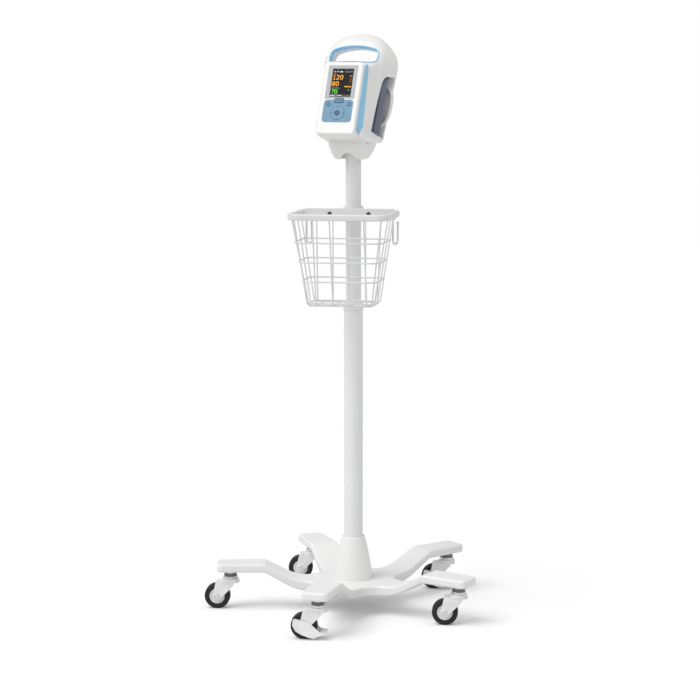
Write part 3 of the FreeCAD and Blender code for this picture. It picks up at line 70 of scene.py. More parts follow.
# ---------------------------------------------------------------- camera and light
def look_from(location, azimuth, pitch):
    """Rotation of a camera that looks along +Y turned left by the azimuth, and down by the pitch."""
    a, p = math.radians(azimuth), math.radians(pitch)
    along = Vector((-math.sin(a) * math.cos(p), math.cos(a) * math.cos(p), -math.sin(p)))
    return Matrix.Translation(location) @ along.to_track_quat("-Z", "Y").to_matrix().to_4x4()


CAMERA_AZIMUTH = 20.5
CAMERA_DISTANCE = 4.023
CAMERA_HEIGHT = 1.056
CAMERA_PITCH = 7.717
camera = bpy.data.objects.new("camera", bpy.data.cameras.new("camera"))
bpy.context.scene.collection.objects.link(camera)
azimuth = math.radians(CAMERA_AZIMUTH)
place = Vector((CAMERA_DISTANCE * math.sin(azimuth), -CAMERA_DISTANCE * math.cos(azimuth), CAMERA_HEIGHT))
camera.matrix_world = look_from(place, CAMERA_AZIMUTH, CAMERA_PITCH)
camera.data.sensor_width = 36.0
camera.data.lens = 107.5
camera.data.shift_x = -0.0049
camera.data.clip_start = 0.05
camera.data.clip_end = 100.0
bpy.context.scene.camera = camera


def area_light(name, location, target, size, power):
    """A rectangular lamp that faces its target; size is its width and height."""
    light = bpy.data.lights.new(name, "AREA")
    light.shape = "RECTANGLE"
    light.size, light.size_y = size
    light.energy = power
    lamp = bpy.data.objects.new(name, light)
    bpy.context.scene.collection.objects.link(lamp)
    towards = Vector(target) - Vector(location)
    lamp.matrix_world = Matrix.Translation(location) @ towards.to_track_quat("-Z", "Y").to_matrix().to_4x4()


area_light("front_light", (-2.2, -3.2, 2.6), (0, 0, 0.7), (1.6, 2.2), 10)
area_light("side_light", (3.0, -1.2, 1.8), (0, 0, 0.7), (1.2, 2.4), 5)

sun = bpy.data.objects.new("sun", bpy.data.lights.new("sun", "SUN"))
bpy.context.scene.collection.objects.link(sun)
sun.data.energy = 1.55
sun.data.angle = math.radians(42)
sun.matrix_world = Vector((0.42, 0.52, -1.0)).to_track_quat("-Z", "Y").to_matrix().to_4x4()

world = bpy.data.worlds.new("studio")
world.use_nodes = True
nodes, links = world.node_tree.nodes, world.node_tree.links
soft = nodes["Background"]
soft.inputs["Color"].default_value = (1.0, 1.0, 1.0, 1.0)
soft.inputs["Strength"].default_value = 0.62
bright = nodes.new("ShaderNodeBackground")
bright.inputs["Color"].default_value = (1.0, 1.0, 1.0, 1.0)
bright.inputs["Strength"].default_value = 1.0
ray = nodes.new("ShaderNodeLightPath")
either = nodes.new("ShaderNodeMixShader")
links.new(ray.outputs["Is Camera Ray"], either.inputs[0])
links.new(soft.outputs[0], either.inputs[1])
links.new(bright.outputs[0], either.inputs[2])
links.new(either.outputs[0], nodes["World Output"].inputs["Surface"])
bpy.context.scene.world = world
bpy.context.scene.view_settings.view_transform = "Standard"


# ---------------------------------------------------------------- materials
class Tree:
    """A material's node tree, with short ways to add and join nodes."""

    def __init__(self, name, scale=1.0, turn=(0.0, 0.0, 0.0)):
        self.material = bpy.data.materials.new(name)
        self.material.use_nodes = True
        self.tree = self.material.node_tree
        self.shader = self.tree.nodes["Principled BSDF"]
        coords = self.tree.nodes.new("ShaderNodeTexCoord")
        mapping = self.tree.nodes.new("ShaderNodeMapping")
        mapping.inputs["Scale"].default_value = (scale, scale, scale)
        mapping.inputs["Rotation"].default_value = turn
        self.link(coords.outputs["Object"], mapping.inputs["Vector"])
        self.place = mapping.outputs["Vector"]

    def link(self, out, into):
        self.tree.links.new(out, into)

    def add(self, kind, **values):
        node = self.tree.nodes.new(kind)
        for key, value in values.items():
            setattr(node, key, value)
        return node

    def noise(self, scale, detail=3.0, roughness=0.55, stretch=None):
        node = self.add("ShaderNodeTexNoise")
        node.inputs["Scale"].default_value = scale
        node.inputs["Detail"].default_value = detail
        node.inputs["Roughness"].default_value = roughness
        source = self.place
        if stretch:
            mapping = self.add("ShaderNodeMapping")
            mapping.inputs["Scale"].default_value = stretch
            self.link(self.place, mapping.inputs["Vector"])
            source = mapping.outputs["Vector"]
        self.link(source, node.inputs["Vector"])
        return node.outputs["Fac"]

    def ramp(self, value, low, high, a, b):
        """The value, spread from low..high onto a..b."""
        node = self.add("ShaderNodeMapRange")
        for key, number in (("From Min", low), ("From Max", high), ("To Min", a), ("To Max", b)):
            node.inputs[key].default_value = number
        self.link(value, node.inputs["Value"])
        return node.outputs["Result"]

    def mix(self, factor, a, b):
        """A colour between a and b, each a colour or an output."""
        node = self.add("ShaderNodeMix", data_type="RGBA")
        self.link(factor, node.inputs["Factor"])
        for key, value in ((6, a), (7, b)):
            if isinstance(value, tuple):
                node.inputs[key].default_value = (*value, 1.0)
            else:
                self.link(value, node.inputs[key])
        return node.outputs[2]

    def bump(self, height, strength, distance, under=None):
        node = self.add("ShaderNodeBump")
        node.inputs["Strength"].default_value = strength
        node.inputs["Distance"].default_value = distance
        self.link(height, node.inputs["Height"])
        if under:
            self.link(under, node.inputs["Normal"])
        return node.outputs["Normal"]

    def set(self, **values):
        for key, value in values.items():
            socket = self.shader.inputs[key.replace("_", " ")]
            if isinstance(value, (int, float)):
                socket.default_value = value
            elif isinstance(value, tuple):
                socket.default_value = (*value, 1.0)
            else:
                self.link(value, socket)


def shade(colour, factor):
    return tuple(min(1.0, c * factor) for c in colour)


def moulded(name, colour, rough=0.38, grain=900.0, depth=0.00006, spread=0.05, coat=0.0):
    """Moulded plastic: a fine spark-eroded grain, slight clouding and a painted highlight that makes convex
    edges a little lighter.
    """
    t = Tree(name)
    cloud = t.noise(14.0, 4.0)
    base = t.mix(t.ramp(cloud, 0.3, 0.7, 0.0, 1.0),
                 shade(colour, 1 - spread), shade(colour, 1 + spread * 0.4))
    geometry = t.add("ShaderNodeNewGeometry")
    # painted highlight: convex edges, found by pointiness, are lightened
    edge = t.ramp(geometry.outputs["Pointiness"], 0.52, 0.62, 0.0, 0.5)
    base = t.mix(edge, base, shade(colour, 1.12))
    fine = t.noise(grain, 2.0)
    t.set(Base_Color=base, Roughness=t.ramp(t.noise(60.0), 0.3, 0.7, rough - 0.05, rough + 0.06),
          Normal=t.bump(fine, 0.35, depth), Coat_Weight=coat, Coat_Roughness=0.25)
    return t.material


def coated(name, colour, rough=0.3, peel=420.0, depth=0.00008):
    """Powder-coated or painted metal: orange peel, a thin clear gloss and painted shade that darkens the
    hollows in patches.
    """
    t = Tree(name)
    cloud = t.noise(9.0, 5.0)
    base = t.mix(t.ramp(cloud, 0.3, 0.75, 0.0, 1.0), shade(colour, 0.955), shade(colour, 1.01))
    geometry = t.add("ShaderNodeNewGeometry")
    # painted shade: the hollows, found by pointiness, are darkened in patches toward a darker copy of the
    # paint
    hollow = t.ramp(geometry.outputs["Pointiness"], 0.40, 0.49, 1.0, 0.0)
    dust_and_shade = t.add("ShaderNodeMath", operation="MULTIPLY")
    t.link(hollow, dust_and_shade.inputs[0])
    t.link(t.ramp(t.noise(70.0, 6.0), 0.4, 0.7, 0.1, 0.5), dust_and_shade.inputs[1])
    base = t.mix(dust_and_shade.outputs["Value"], base, shade(colour, 0.86))
    t.set(Base_Color=base, Roughness=t.ramp(t.noise(35.0), 0.3, 0.7, rough - 0.05, rough + 0.08),
          Normal=t.bump(t.noise(peel, 2.0), 0.3, depth), Coat_Weight=0.25, Coat_Roughness=0.2)
    return t.material


def plated(name, colour, rough=0.25, streak=(1.0, 1.0, 16.0), metallic=1.0):
    """Plated steel: streaks left by rolling or brushing, and cloudy patches in the plating."""
    t = Tree(name)
    lines = t.noise(160.0, 5.0, 0.6, streak)
    patch = t.noise(40.0, 4.0)
    base = t.mix(t.ramp(patch, 0.3, 0.7, 0.0, 1.0), shade(colour, 0.88), shade(colour, 1.06))
    t.set(Base_Color=base, Metallic=metallic,
          Roughness=t.ramp(lines, 0.3, 0.7, max(0.04, rough - 0.08), rough + 0.1),
          Normal=t.bump(lines, 0.12, 0.00005))
    return t.material


def tread_rubber(name, colour):
    """Solid wheel rubber, matt with paler scuffing where the wheel meets the floor."""
    t = Tree(name)
    scuff = t.noise(180.0, 6.0, 0.65)
    dust_and_shade = t.noise(25.0, 4.0)
    base = t.mix(t.ramp(dust_and_shade, 0.45, 0.75, 0.0, 0.35), colour, (0.03, 0.03, 0.029))
    base = t.mix(t.ramp(scuff, 0.6, 0.75, 0.0, 0.25), base, (0.06, 0.059, 0.058))
    t.set(Base_Color=base, Roughness=t.ramp(scuff, 0.3, 0.7, 0.55, 0.78),
          Normal=t.bump(t.noise(700.0, 3.0), 0.4, 0.0001))
    return t.material


def soft_rubber(name, colour, rough=0.5, spread=0.08):
    """Smooth silicone or vinyl with a slight bloom."""
    t = Tree(name)
    bloom = t.noise(50.0, 4.0)
    base = t.mix(t.ramp(bloom, 0.3, 0.7, 0.0, 1.0), shade(colour, 1 - spread), shade(colour, 1 + spread))
    t.set(Base_Color=base, Roughness=t.ramp(t.noise(120.0), 0.3, 0.7, rough - 0.07, rough + 0.07),
          Normal=t.bump(t.noise(1300.0, 2.0), 0.25, 0.00004), Sheen_Weight=0.15, Subsurface_Weight=0.0)
    return t.material


def woven(name, colour, thread, pitch=0.00085, rough=0.85):
    """Coated nylon cloth: warp and weft at the real pitch, laid along the head's own axes."""
    t = Tree(name, turn=(HEAD_TILT, 0.0, 0.0))
    waves = []
    for direction in ("Z", "DIAGONAL"):
        wave = t.add("ShaderNodeTexWave", wave_type="BANDS", bands_direction=direction)
        wave.inputs["Scale"].default_value = 1.0 / pitch / 6.3 * (1.0 if direction == "Z" else 1.4)
        wave.inputs["Distortion"].default_value = 0.6
        wave.inputs["Detail"].default_value = 1.0
        t.link(t.place, wave.inputs["Vector"])
        waves.append(wave.outputs["Fac"])
    cross = t.add("ShaderNodeMath", operation="MULTIPLY")
    t.link(waves[0], cross.inputs[0])
    t.link(waves[1], cross.inputs[1])
    weave = cross.outputs["Value"]
    base = t.mix(weave, shade(colour, 0.72), thread)
    base = t.mix(t.ramp(t.noise(22.0, 5.0), 0.35, 0.7, 0.0, 0.35), base, shade(colour, 1.35))
    under = t.bump(t.noise(90.0, 5.0), 0.35, 0.0009)
    t.set(Base_Color=base, Roughness=t.ramp(weave, 0.0, 1.0, rough + 0.08, rough - 0.1),
          Normal=t.bump(weave, 0.55, 0.00025, under), Sheen_Weight=0.35, Sheen_Roughness=0.4)
    return t.material


def glow(name, colour, strength, patchy=0.12):
    """A lit area of the display: cells of slightly uneven brightness."""
    t = Tree(name)
    cells = t.add("ShaderNodeTexVoronoi")
    cells.inputs["Scale"].default_value = 2600.0
    t.link(t.place, cells.inputs["Vector"])
    level = t.ramp(cells.outputs["Distance"], 0.0, 0.9, strength, strength * (1 - patchy))
    tint = t.mix(t.noise(300.0), shade(colour, 0.9), shade(colour, 1.08))
    t.set(Base_Color=(0.01, 0.01, 0.01), Roughness=0.4, Emission_Color=tint, Emission_Strength=level)
    return t.material


def window_material():
    """Clear hard-coated acrylic: see-through, with a faint gloss and a few hair scratches."""
    t = Tree("window_acrylic")
    scratch = t.noise(900.0, 2.0, 0.5, (1.0, 1.0, 0.04))
    t.set(Base_Color=(0.004, 0.004, 0.005), Alpha=0.06, Specular_IOR_Level=0.25,
          Roughness=t.ramp(scratch, 0.5, 0.75, 0.12, 0.24), Normal=t.bump(scratch, 0.01, 0.00001))
    return t.material


def board_material():
    """Solder mask with copper tracks under it."""
    t = Tree("circuit_board")
    brick = t.add("ShaderNodeTexBrick")
    brick.inputs["Scale"].default_value = 260.0
    brick.inputs["Color1"].default_value = (0.01, 0.12, 0.05, 1.0)
    brick.inputs["Color2"].default_value = (0.012, 0.16, 0.06, 1.0)
    brick.inputs["Mortar"].default_value = (0.25, 0.2, 0.06, 1.0)
    t.link(t.place, brick.inputs["Vector"])
    t.set(Base_Color=brick.outputs["Color"], Roughness=t.ramp(t.noise(80.0), 0.3, 0.7, 0.3, 0.45),
          Normal=t.bump(t.noise(500.0), 0.2, 0.00005))
    return t.material


WHITE = (0.83, 0.83, 0.82)
PAINT = (0.84, 0.84, 0.835)
MATERIALS = {
    "white_shell": moulded("white_shell", WHITE, 0.36, coat=0.15),
    "grey_trim": moulded("grey_trim", (0.43, 0.445, 0.46), 0.42),
    "blue_trim": moulded("blue_trim", (0.29, 0.60, 0.84), 0.42, spread=0.03),
    "keypad_blue": soft_rubber("keypad_blue", (0.15, 0.30, 0.445), 0.46, 0.05),
    "key_blue": soft_rubber("key_blue", (0.05, 0.125, 0.22), 0.5, 0.06),
    "window_glass": window_material(),
    "display": moulded("display", (0.003, 0.003, 0.0035), 0.85, depth=0.000002),
    "circuit_board": board_material(),
    "dark_plastic": moulded("dark_plastic", (0.045, 0.046, 0.05), 0.45),
    "cuff_cloth": woven("cuff_cloth", (0.145, 0.165, 0.225), (0.22, 0.24, 0.30)),
    "hose_rubber": soft_rubber("hose_rubber", (0.70, 0.70, 0.69), 0.36),
    "pole_paint": coated("pole_paint", (0.81, 0.815, 0.82), 0.3),
    "base_paint": coated("base_paint", PAINT, 0.34),
    "wire_paint": coated("wire_paint", (0.745, 0.745, 0.745), 0.32),
    "collar_plastic": moulded("collar_plastic", (0.76, 0.765, 0.77), 0.4),
    "zinc_steel": plated("zinc_steel", (0.82, 0.82, 0.825), 0.26),
    "bright_chrome": plated("bright_chrome", (0.80, 0.80, 0.80), 0.12, (1.0, 1.0, 4.0)),
    "wheel_plastic": moulded("wheel_plastic", (0.80, 0.80, 0.795), 0.42),
    "wheel_rubber": tread_rubber("wheel_rubber", (0.009, 0.009, 0.0095)),
    "fork_steel": plated("fork_steel", (0.90, 0.90, 0.895), 0.34, (1.0, 1.0, 10.0), 0.25),
    "lever_plastic": plated("lever_steel", (0.90, 0.90, 0.895), 0.34, (1.0, 1.0, 8.0), 0.25),
}
DUST_RING = moulded("dust_ring", (0.14, 0.142, 0.145), 0.3)
for row in frame["record"]["subparts"]:
    node = frame["nodes"][row["node"]]
    node.data.materials.clear()
    node.data.materials.append(MATERIALS[row["material_slot"]])
frame["nodes"]["caster_dust_rings"].data.materials[0] = DUST_RING
frame["nodes"]["basket_screws"].data.materials[0] = plated("screw_black", (0.10, 0.10, 0.11), 0.4)


# ---------------------------------------------------------------- mesh helpers
def piece(name, mesh, material, body="stand", smooth=True):
    """A new visible piece that rides a body and takes the material it is given."""
    made = bpy.data.objects.new(name, mesh)
    bpy.context.scene.collection.objects.link(made)
    mesh.materials.clear()
    mesh.materials.append(material)
    mesh.polygons.foreach_set("use_smooth", [smooth] * len(mesh.polygons))
    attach(made, body)
    return made


def mesh_of(build):
    """A mesh built by a function in the head's own millimetres, then placed."""
    bm = bmesh.new()
    build(bm)
    bmesh.ops.recalc_face_normals(bm, faces=bm.faces)
    bm.transform(HEAD)
    mesh = bpy.data.meshes.new("made")
    bm.to_mesh(mesh)
    bm.free()
    return mesh


def extruded(bm, outline, near, far):
    """A closed slab from an outline of (x, z) pairs between two depths."""
    front = [bm.verts.new((x, near, z)) for x, z in outline]
    back = [bm.verts.new((x, far, z)) for x, z in outline]
    bm.faces.new(front)
    bm.faces.new(reversed(back))
    count = len(outline)
    for i in range(count):
        bm.faces.new((front[i], back[i], back[(i + 1) % count], front[(i + 1) % count]))


def skin(bm, rows):
    """Faces between rings that follow each other and have as many corners each."""
    count = len(rows[0])
    for a, b in zip(rows, rows[1:]):
        for k in range(count):
            bm.faces.new((a[k], a[(k + 1) % count], b[(k + 1) % count], b[k]))


def ring_at(bm, centre, radius, sides, u, v):
    """A ring of corners round a point, in the plane of the directions u and v."""
    corners = []
    for k in range(sides):
        angle = 2 * math.pi * k / sides
        corners.append(bm.verts.new(centre + radius * (u * math.cos(angle) + v * math.sin(angle))))
    return corners


def rounded(x0, x1, z0, z1, corner, steps=6):
    """Outline of a rectangle with round corners."""
    outline = []
    centres = ((x1 - corner, z1 - corner, 0), (x0 + corner, z1 - corner, 90),
               (x0 + corner, z0 + corner, 180), (x1 - corner, z0 + corner, 270))
    for cx, cz, start in centres:
        for i in range(steps + 1):
            angle = math.radians(start + 90 * i / steps)
            outline.append((cx + corner * math.cos(angle), cz + corner * math.sin(angle)))
    return outline


def ring_slab(bm, cx, cz, outer, inner, near, far, start=0.0, sweep=360.0, steps=40):
    """A flat ring, or part of one, of rectangular section."""
    closed = sweep >= 360.0
    count = steps if closed else steps + 1
    rows = []
    for i in range(count):
        angle = math.radians(start + sweep * i / steps)
        c, s = math.cos(angle), math.sin(angle)
        rows.append([bm.verts.new((cx + r * c, y, cz + r * s))
                     for r, y in ((outer, near), (outer, far), (inner, far), (inner, near))])
    for i in range(count if closed else count - 1):
        a, b = rows[i], rows[(i + 1) % count]
        for j in range(4):
            k = (j + 1) % 4
            bm.faces.new((a[j], a[k], b[k], b[j]))
    if not closed:
        bm.faces.new(rows[0])
        bm.faces.new(reversed(rows[-1]))


# ---------------------------------------------------------------- screen
LABEL_DEPTH = 5.47         # the picture lies just behind the window
PICTURE = 0.02
PICTURE_SHIFT = -2.2       # the picture keeps clear of the window's right wall

STROKES = {
    "0": [[(0.5, 1.0), (0.12, 0.86), (0.0, 0.5), (0.12, 0.14), (0.5, 0.0), (0.88, 0.14), (1.0, 0.5),
           (0.88, 0.86), (0.5, 1.0)]],
    "1": [[(0.2, 0.78), (0.55, 1.0), (0.55, 0.0)], [(0.15, 0.0), (0.95, 0.0)]],
    "2": [[(0.05, 0.78), (0.25, 0.97), (0.6, 1.0), (0.9, 0.85), (0.9, 0.62), (0.5, 0.33), (0.0, 0.0),
           (1.0, 0.0)]],
    "7": [[(0.0, 1.0), (1.0, 1.0), (0.55, 0.45), (0.4, 0.0)]],
    "8": [[(0.5, 1.0), (0.12, 0.9), (0.1, 0.65), (0.5, 0.54), (0.95, 0.4), (0.97, 0.12), (0.5, 0.0),
           (0.03, 0.12), (0.05, 0.4), (0.5, 0.54), (0.9, 0.65), (0.88, 0.9), (0.5, 1.0)]],
}


def stroke(bm, points, width, near, far):
    """A flat ribbon that follows a line of (x, z) points, with mitred corners."""
    line = [Vector(p) for p in points]
    closed = (line[0] - line[-1]).length < 1e-6
    if closed:
        line = line[:-1]
    count = len(line)
    left, right = [], []
    for i, p in enumerate(line):
        before = line[i - 1] if i or closed else None
        after = line[(i + 1) % count] if i < count - 1 or closed else None
        a = (p - before).normalized() if before is not None else (after - p).normalized()
        b = (after - p).normalized() if after is not None else a
        along = (a + b).normalized()
        across = Vector((-along.y, along.x)) * (width / 2 / max(0.5, along.dot(a)))
        left.append(p + across)
        right.append(p - across)
    rows = [[bm.verts.new((q.x, y, q.y)) for q, y in ((l, near), (r, near), (r, far), (l, far))]
            for l, r in zip(left, right)]
    pairs = list(zip(rows, rows[1:])) + ([(rows[-1], rows[0])] if closed else [])
    for a, b in pairs:
        for j in range(4):
            bm.faces.new((a[j], a[(j + 1) % 4], b[(j + 1) % 4], b[j]))
    if not closed:
        bm.faces.new(rows[0])
        bm.faces.new(reversed(rows[-1]))


def digits(name, text, left, low, height, material, advance=7.4, width=5.0, thick=1.5):
    """Figures on the display, its lower left corner at (left, low)."""
    def build(bm):
        for place, figure in enumerate(text):
            start = left + PICTURE_SHIFT + place * advance
            for line in STROKES[figure]:
                points = [(start + x * width, low + z * height) for x, z in line]
                stroke(bm, points, thick, LABEL_DEPTH - PICTURE, LABEL_DEPTH)
    return piece(name, mesh_of(build), material, smooth=False)


def bars(name, boxes, material, lift=0.0):
    """Plain bars on the display where a real one has words: (left, right, low, high) each."""
    def build(bm):
        for x0, x1, z0, z1 in boxes:
            outline = rounded(x0 + PICTURE_SHIFT, x1 + PICTURE_SHIFT, z0, z1, min(x1 - x0, z1 - z0) * 0.3, 3)
            extruded(bm, outline, LABEL_DEPTH - PICTURE - lift, LABEL_DEPTH - lift)
    return piece(name, mesh_of(build), material, smooth=False)


ORANGE = glow("lit_orange", (1.0, 0.37, 0.0), 1.4)
GREEN = glow("lit_green", (0.22, 0.72, 0.04), 1.25)
DEEP_GREEN = glow("lit_deep_green", (0.02, 0.40, 0.09), 0.9)
PALE = glow("lit_white", (0.85, 0.87, 0.9), 1.0)
GREY = glow("lit_grey", (0.26, 0.26, 0.27), 0.4)
BLUE_GREY = glow("lit_blue_grey", (0.25, 0.42, 0.5), 0.55)
DIM_ORANGE = glow("lit_dim_orange", (0.8, 0.27, 0.03), 0.75)

digits("figure_upper", "120", -18.6, 89.6, 8.6, ORANGE)
digits("figure_middle", "80", -18.4, 76.6, 8.4, ORANGE, 7.4, 5.2)
digits("figure_lower", "70", -18.0, 60.6, 8.0, GREEN, 6.8, 4.8)
bars("status_icons", ((-17.6, -14.6, 104.0, 106.4), (-12.0, -9.4, 104.2, 106.8),
                      (-6.6, -0.2, 103.8, 106.4)), PALE)
bars("status_box", ((3.2, 20.0, 103.4, 107.0),), GREY)
bars("upper_label", ((-18.4, -12.4, 99.9, 101.4),), DIM_ORANGE)
bars("side_labels", ((14.2, 16.4, 95.4, 97.8), (17.2, 19.4, 95.4, 98.4), (15.6, 19.2, 90.0, 90.9),
                     (15.8, 18.4, 87.2, 88.2), (15.6, 19.0, 84.0, 85.4)), DIM_ORANGE)
bars("mean_label", ((6.6, 14.2, 74.0, 76.2), (15.0, 19.4, 73.6, 76.0)), ORANGE)
bars("pulse_label", ((-18.4, -12.6, 71.0, 73.2), (-11.8, -7.4, 71.4, 73.4), (-6.8, -3.0, 71.0, 73.0)),
     DEEP_GREEN)
bars("pulse_side_label", ((13.0, 18.6, 67.4, 69.4),), DEEP_GREEN)
bars("tab_bar_active", ((-20.8, -8.4, 55.6, 58.8),), BLUE_GREY)
bars("tab_bar_words", ((-19.2, -10.2, 56.4, 58.0),), PALE, 0.05)
bars("tab_bar_rest", ((-7.8, 5.4, 55.6, 58.8), (6.0, 20.8, 55.6, 58.8)), GREY)
bars("tab_bar_marks", ((-6.2, 3.8, 56.6, 57.8),), PALE, 0.05)

# ---------------------------------------------------------------- keys
KEY_MARK = soft_rubber("key_mark", (0.22, 0.40, 0.57), 0.45, 0.05)
NAV_MARK = soft_rubber("nav_mark", (0.03, 0.085, 0.16), 0.5, 0.06)
MARK_LIFT = 0.12


def marked(name, body, build, material=KEY_MARK):
    return piece(name, mesh_of(build), material, body, smooth=False)


def start_mark(bm):
    """Two halves of a key's sign, parted by a slanting stroke."""
    near, far = KEY_FACE - MARK_LIFT, KEY_FACE + 0.05
    ring_slab(bm, -4.0, 45.1, 2.9, 1.9, near, far, 60, 240, 24)
    ring_slab(bm, 4.0, 45.1, 2.9, 1.9, near, far, -120, 240, 24)
    extruded(bm, [(-1.6, 42.0), (-0.4, 42.0), (1.6, 48.2), (0.4, 48.2)], near, far)


marked("start_key_mark", "start_key", start_mark)
for side, x in (("left", -20.5), ("right", 20.5)):
    marked(side + "_key_mark", side + "_key",
           lambda bm, x=x: ring_slab(bm, x, 37.5, 2.3, 1.3, KEY_FACE - MARK_LIFT, KEY_FACE + 0.05))


def arrow(cx, cz, dx, dz, reach=2.0, width=1.9):
    """A triangle that points along (dx, dz)."""
    tip = (cx + dx * reach, cz + dz * reach)
    back = (cx - dx * reach * 0.5, cz - dz * reach * 0.5)
    return [tip, (back[0] - dz * width, back[1] + dx * width), (back[0] + dz * width, back[1] - dx * width)]


def nav_arrows(bm):
    """Four arrows round the select key."""
    for dx, dz in ((0, 1), (1, 0), (0, -1), (-1, 0)):
        extruded(bm, arrow(dx * 11.4, NAV_Z + dz * 11.4, dx, dz), KEY_FACE - MARK_LIFT, KEY_FACE + 0.05)


marked("nav_arrows", "nav_ring", nav_arrows, NAV_MARK)


def dome(bm, cx, cz, radius, height, base, rings=5, steps=24):
    """A shallow lens that stands out of the face at depth base."""
    rows = []
    for i in range(rings):
        angle = math.pi / 2 * i / rings
        rows.append(ring_at(bm, Vector((cx, base - height * math.sin(angle), cz)), radius * math.cos(angle),
                            steps, X_AXIS, Z_AXIS))
    top = bm.verts.new((cx, base - height, cz))
    skin(bm, rows)
    for j in range(steps):
        bm.faces.new((rows[-1][j], rows[-1][(j + 1) % steps], top))
    bm.faces.new(list(reversed(rows[0])))


LAMP = glow("lamp_green", (0.16, 0.62, 0.10), 0.75)
piece("charge_lamp", mesh_of(lambda bm: dome(bm, 20.8, 7.8, 1.3, 0.5, 0.1)), LAMP)

# ---------------------------------------------------------------- cuff
def edge_depth(z):
    """Depth of the bay's front edge at a level."""
    for (y0, z0), (y1, z1) in zip(BAY_EDGE, BAY_EDGE[1:]):
        if z <= z1:
            return y0 + (y1 - y0) * (z - z0) / (z1 - z0)
    return BAY_EDGE[-1][0]


CUFF_LOW, CUFF_HIGH = 1.8, 123.0
CUFF_LEVELS = 84
CUFF_SIDES = 96
CUFF_NEAR, CUFF_BACK = 50.6, 75.6          # front and rear of the cuff's plan at its foot


def cuff_depth(y, z):
    """Depth at a height of a point that has depth y in the plan: the front leans back, the rear is plumb."""
    front = edge_depth(min(z + 1.0, 124.5)) + 2.2
    return min(front + (CUFF_BACK - front) * (y - CUFF_NEAR) / (CUFF_BACK - CUFF_NEAR), CUFF_BACK)


def smooth_loop(points, count, passes=3):
    """A closed outline of (x, y) pairs, its corners rounded by cutting them, resampled evenly."""
    loop = [Vector(p) for p in points]
    for _ in range(passes):
        loop = [q for a, b in zip(loop, loop[1:] + loop[:1]) for q in (a.lerp(b, 0.25), a.lerp(b, 0.75))]
    lengths = [0.0]
    for a, b in zip(loop, loop[1:] + loop[:1]):
        lengths.append(lengths[-1] + (b - a).length)
    out, at = [], 0
    for i in range(count):
        wanted = lengths[-1] * i / count
        while lengths[at + 1] < wanted:
            at += 1
        a, b = loop[at], loop[(at + 1) % len(loop)]
        out.append(a.lerp(b, (wanted - lengths[at]) / (lengths[at + 1] - lengths[at])))
    return out


def cuff_row(bm, share):
    """One level of the cuff, its outline creased and pulled in a little near both ends."""
    z = CUFF_LOW + (CUFF_HIGH - CUFF_LOW) * share
    loop = smooth_loop([(x, cuff_depth(y, z)) for x, y in CUFF_PLAN], CUFF_SIDES)
    centre = sum(loop, Vector((0, 0))) / CUFF_SIDES
    pull = 1.0 - 0.09 * max(0.0, 1 - min(share, 1 - share) * 16) ** 2
    row = []
    for p in loop:
        away = p - centre
        point = centre + away * pull
        here = Vector((point.x, point.y, z))
        crease = noise.noise(here * 0.055) * 0.75 + noise.noise(here * 0.16) * 0.3
        fold = 0.35 * math.sin(z * 0.11 + point.y * 0.25) ** 8
        point = point - away.normalized() * max(0.0, 0.275 + crease * 0.275 + fold)
        row.append(bm.verts.new((point.x, point.y, z)))
    return row


def close_end(bm, row, rise):
    """Shallow, uneven closing of one end of the cuff, in rings that shrink to its middle."""
    centre = sum((v.co for v in row), Vector()) / CUFF_SIDES
    rings = [row]
    for step in (0.75, 0.45, 0.15):
        ring = [bm.verts.new(centre + (v.co - centre) * step) for v in row]
        for v in ring:
            v.co.z += rise * (noise.noise(v.co * 0.2) - 0.2)
        rings.append(ring)
    skin(bm, rings)
    bm.faces.new(rings[-1])


def cuff_cloth(bm):
    """Folded cuff: layers of cloth wrapped round each other, creased and crowned between its edges."""
    rows = [cuff_row(bm, i / CUFF_LEVELS) for i in range(CUFF_LEVELS + 1)]
    skin(bm, rows)
    close_end(bm, rows[0], 0.5)
    close_end(bm, rows[-1], -0.5)


cuff = piece("arm_cuff", mesh_of(cuff_cloth), MATERIALS["cuff_cloth"])
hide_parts("cuff")

CLOTH_EDGE = woven("cuff_binding", (0.055, 0.06, 0.125), (0.09, 0.10, 0.17), 0.0006, 0.8)
BINDING_RADIUS = 1.15
BINDING_FOOT = 3.0


def binding(bm, x, y, top, steps=70):
    """Rolled edge binding that runs up one corner of the cuff's plan."""
    rows = []
    for i in range(steps + 1):
        z = BINDING_FOOT + (top - BINDING_FOOT) * i / steps
        swell = 1.0 + 0.1 * noise.noise(Vector((z * 0.3, x, 0)))
        rows.append(ring_at(bm, Vector((x, cuff_depth(y, z), z)), BINDING_RADIUS * swell, 10, X_AXIS, Y_AXIS))
    skin(bm, rows)
    bm.faces.new(rows[0])
    bm.faces.new(rows[-1])


for name, x, y, top in (("front", 58.2, 52.3, 115.5), ("outer", 64.6, 64.0, 118.5),
                        ("rear", 58.4, 73.6, 119.0)):
    piece("cuff_binding_" + name, mesh_of(lambda bm: binding(bm, x, y, top)), CLOTH_EDGE)

# depth and radius of each step of the port
PORT_STEPS = ((74.4, 5.8), (76.4, 5.8), (76.8, 4.6), (82.6, 4.3), (83.0, 4.8), (84.0, 4.8), (84.2, 3.6))


def port(bm):
    """Stepped plastic fitting on the cuff's rear where the hose goes in."""
    x, z = CUFF_PORT
    rows = [ring_at(bm, Vector((x, y, z)), r, 28, X_AXIS, Z_AXIS) for y, r in PORT_STEPS]
    skin(bm, rows)
    bm.faces.new(rows[0])
    bm.faces.new(rows[-1])


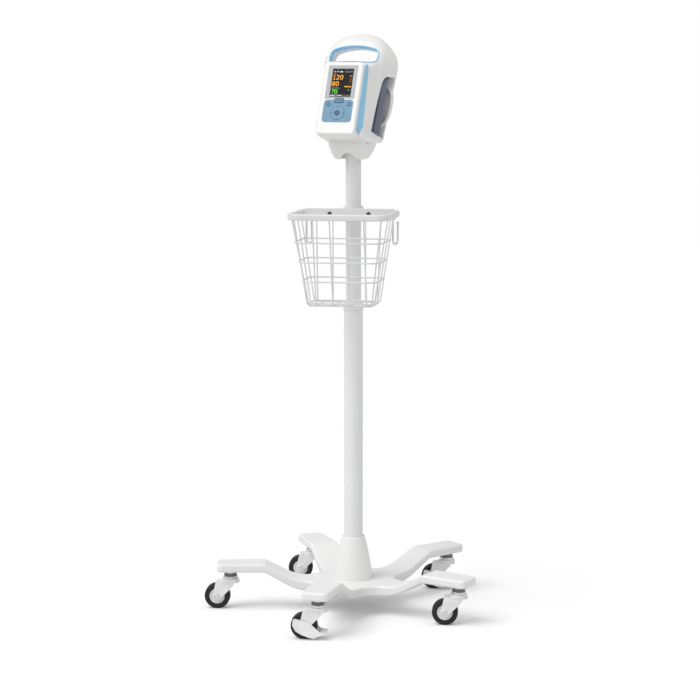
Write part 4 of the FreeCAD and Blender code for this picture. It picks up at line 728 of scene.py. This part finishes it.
piece("cuff_port", mesh_of(port), MATERIALS["dark_plastic"], smooth=False)

# ---------------------------------------------------------------- hose
hose_curve = bpy.data.curves.new("air_hose_line", "CURVE")
hose_curve.dimensions = "3D"
spline = hose_curve.splines.new("NURBS")
spline.points.add(len(HOSE_POINTS) - 1)
for point, (x, z) in zip(spline.points, HOSE_POINTS):
    point.co = (*head(x, HOSE_DEPTH, z), 1.0)
spline.order_u = 3
spline.use_endpoint_u = True
spline.resolution_u = 16
hose_curve.bevel_depth = HOSE_RADIUS * MM
hose_curve.bevel_resolution = 6
hose_curve.use_fill_caps = True
guide = bpy.data.objects.new("hose_guide", hose_curve)
bpy.context.scene.collection.objects.link(guide)
bpy.context.view_layer.update()
tube = bpy.data.meshes.new_from_object(guide)
hose_curve.bevel_depth = 0.0
bpy.context.view_layer.update()
hose_line = [tuple(v.co) for v in bpy.data.meshes.new_from_object(guide).vertices]
bpy.data.objects.remove(guide)

hose = piece("cuff_hose", tube, MATERIALS["hose_rubber"])
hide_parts("air_hose")

# ---------------------------------------------------------------- floor
floor_mesh = bpy.data.meshes.new("floor")
bm = bmesh.new()
bmesh.ops.create_grid(bm, x_segments=2, y_segments=2, size=14.0)
bm.to_mesh(floor_mesh)
bm.free()
floor = bpy.data.objects.new("floor", floor_mesh)
bpy.context.scene.collection.objects.link(floor)
t = Tree("studio_floor")
t.set(Base_Color=t.mix(t.noise(0.8), (0.93, 0.93, 0.93), (0.95, 0.95, 0.95)), Roughness=0.8,
      Emission_Color=(1.0, 1.0, 1.0), Emission_Strength=0.06)
dim = t.add("ShaderNodeBsdfDiffuse")
dim.inputs["Color"].default_value = (0.74, 0.74, 0.745, 1.0)
seen = t.add("ShaderNodeLightPath")
either = t.add("ShaderNodeMixShader")
t.link(seen.outputs["Is Camera Ray"], either.inputs[0])
t.link(dim.outputs[0], either.inputs[1])
t.link(t.shader.outputs[0], either.inputs[2])
t.link(either.outputs[0], t.tree.nodes["Material Output"].inputs["Surface"])
floor_mesh.materials.append(t.material)

bpy.context.view_layer.update()
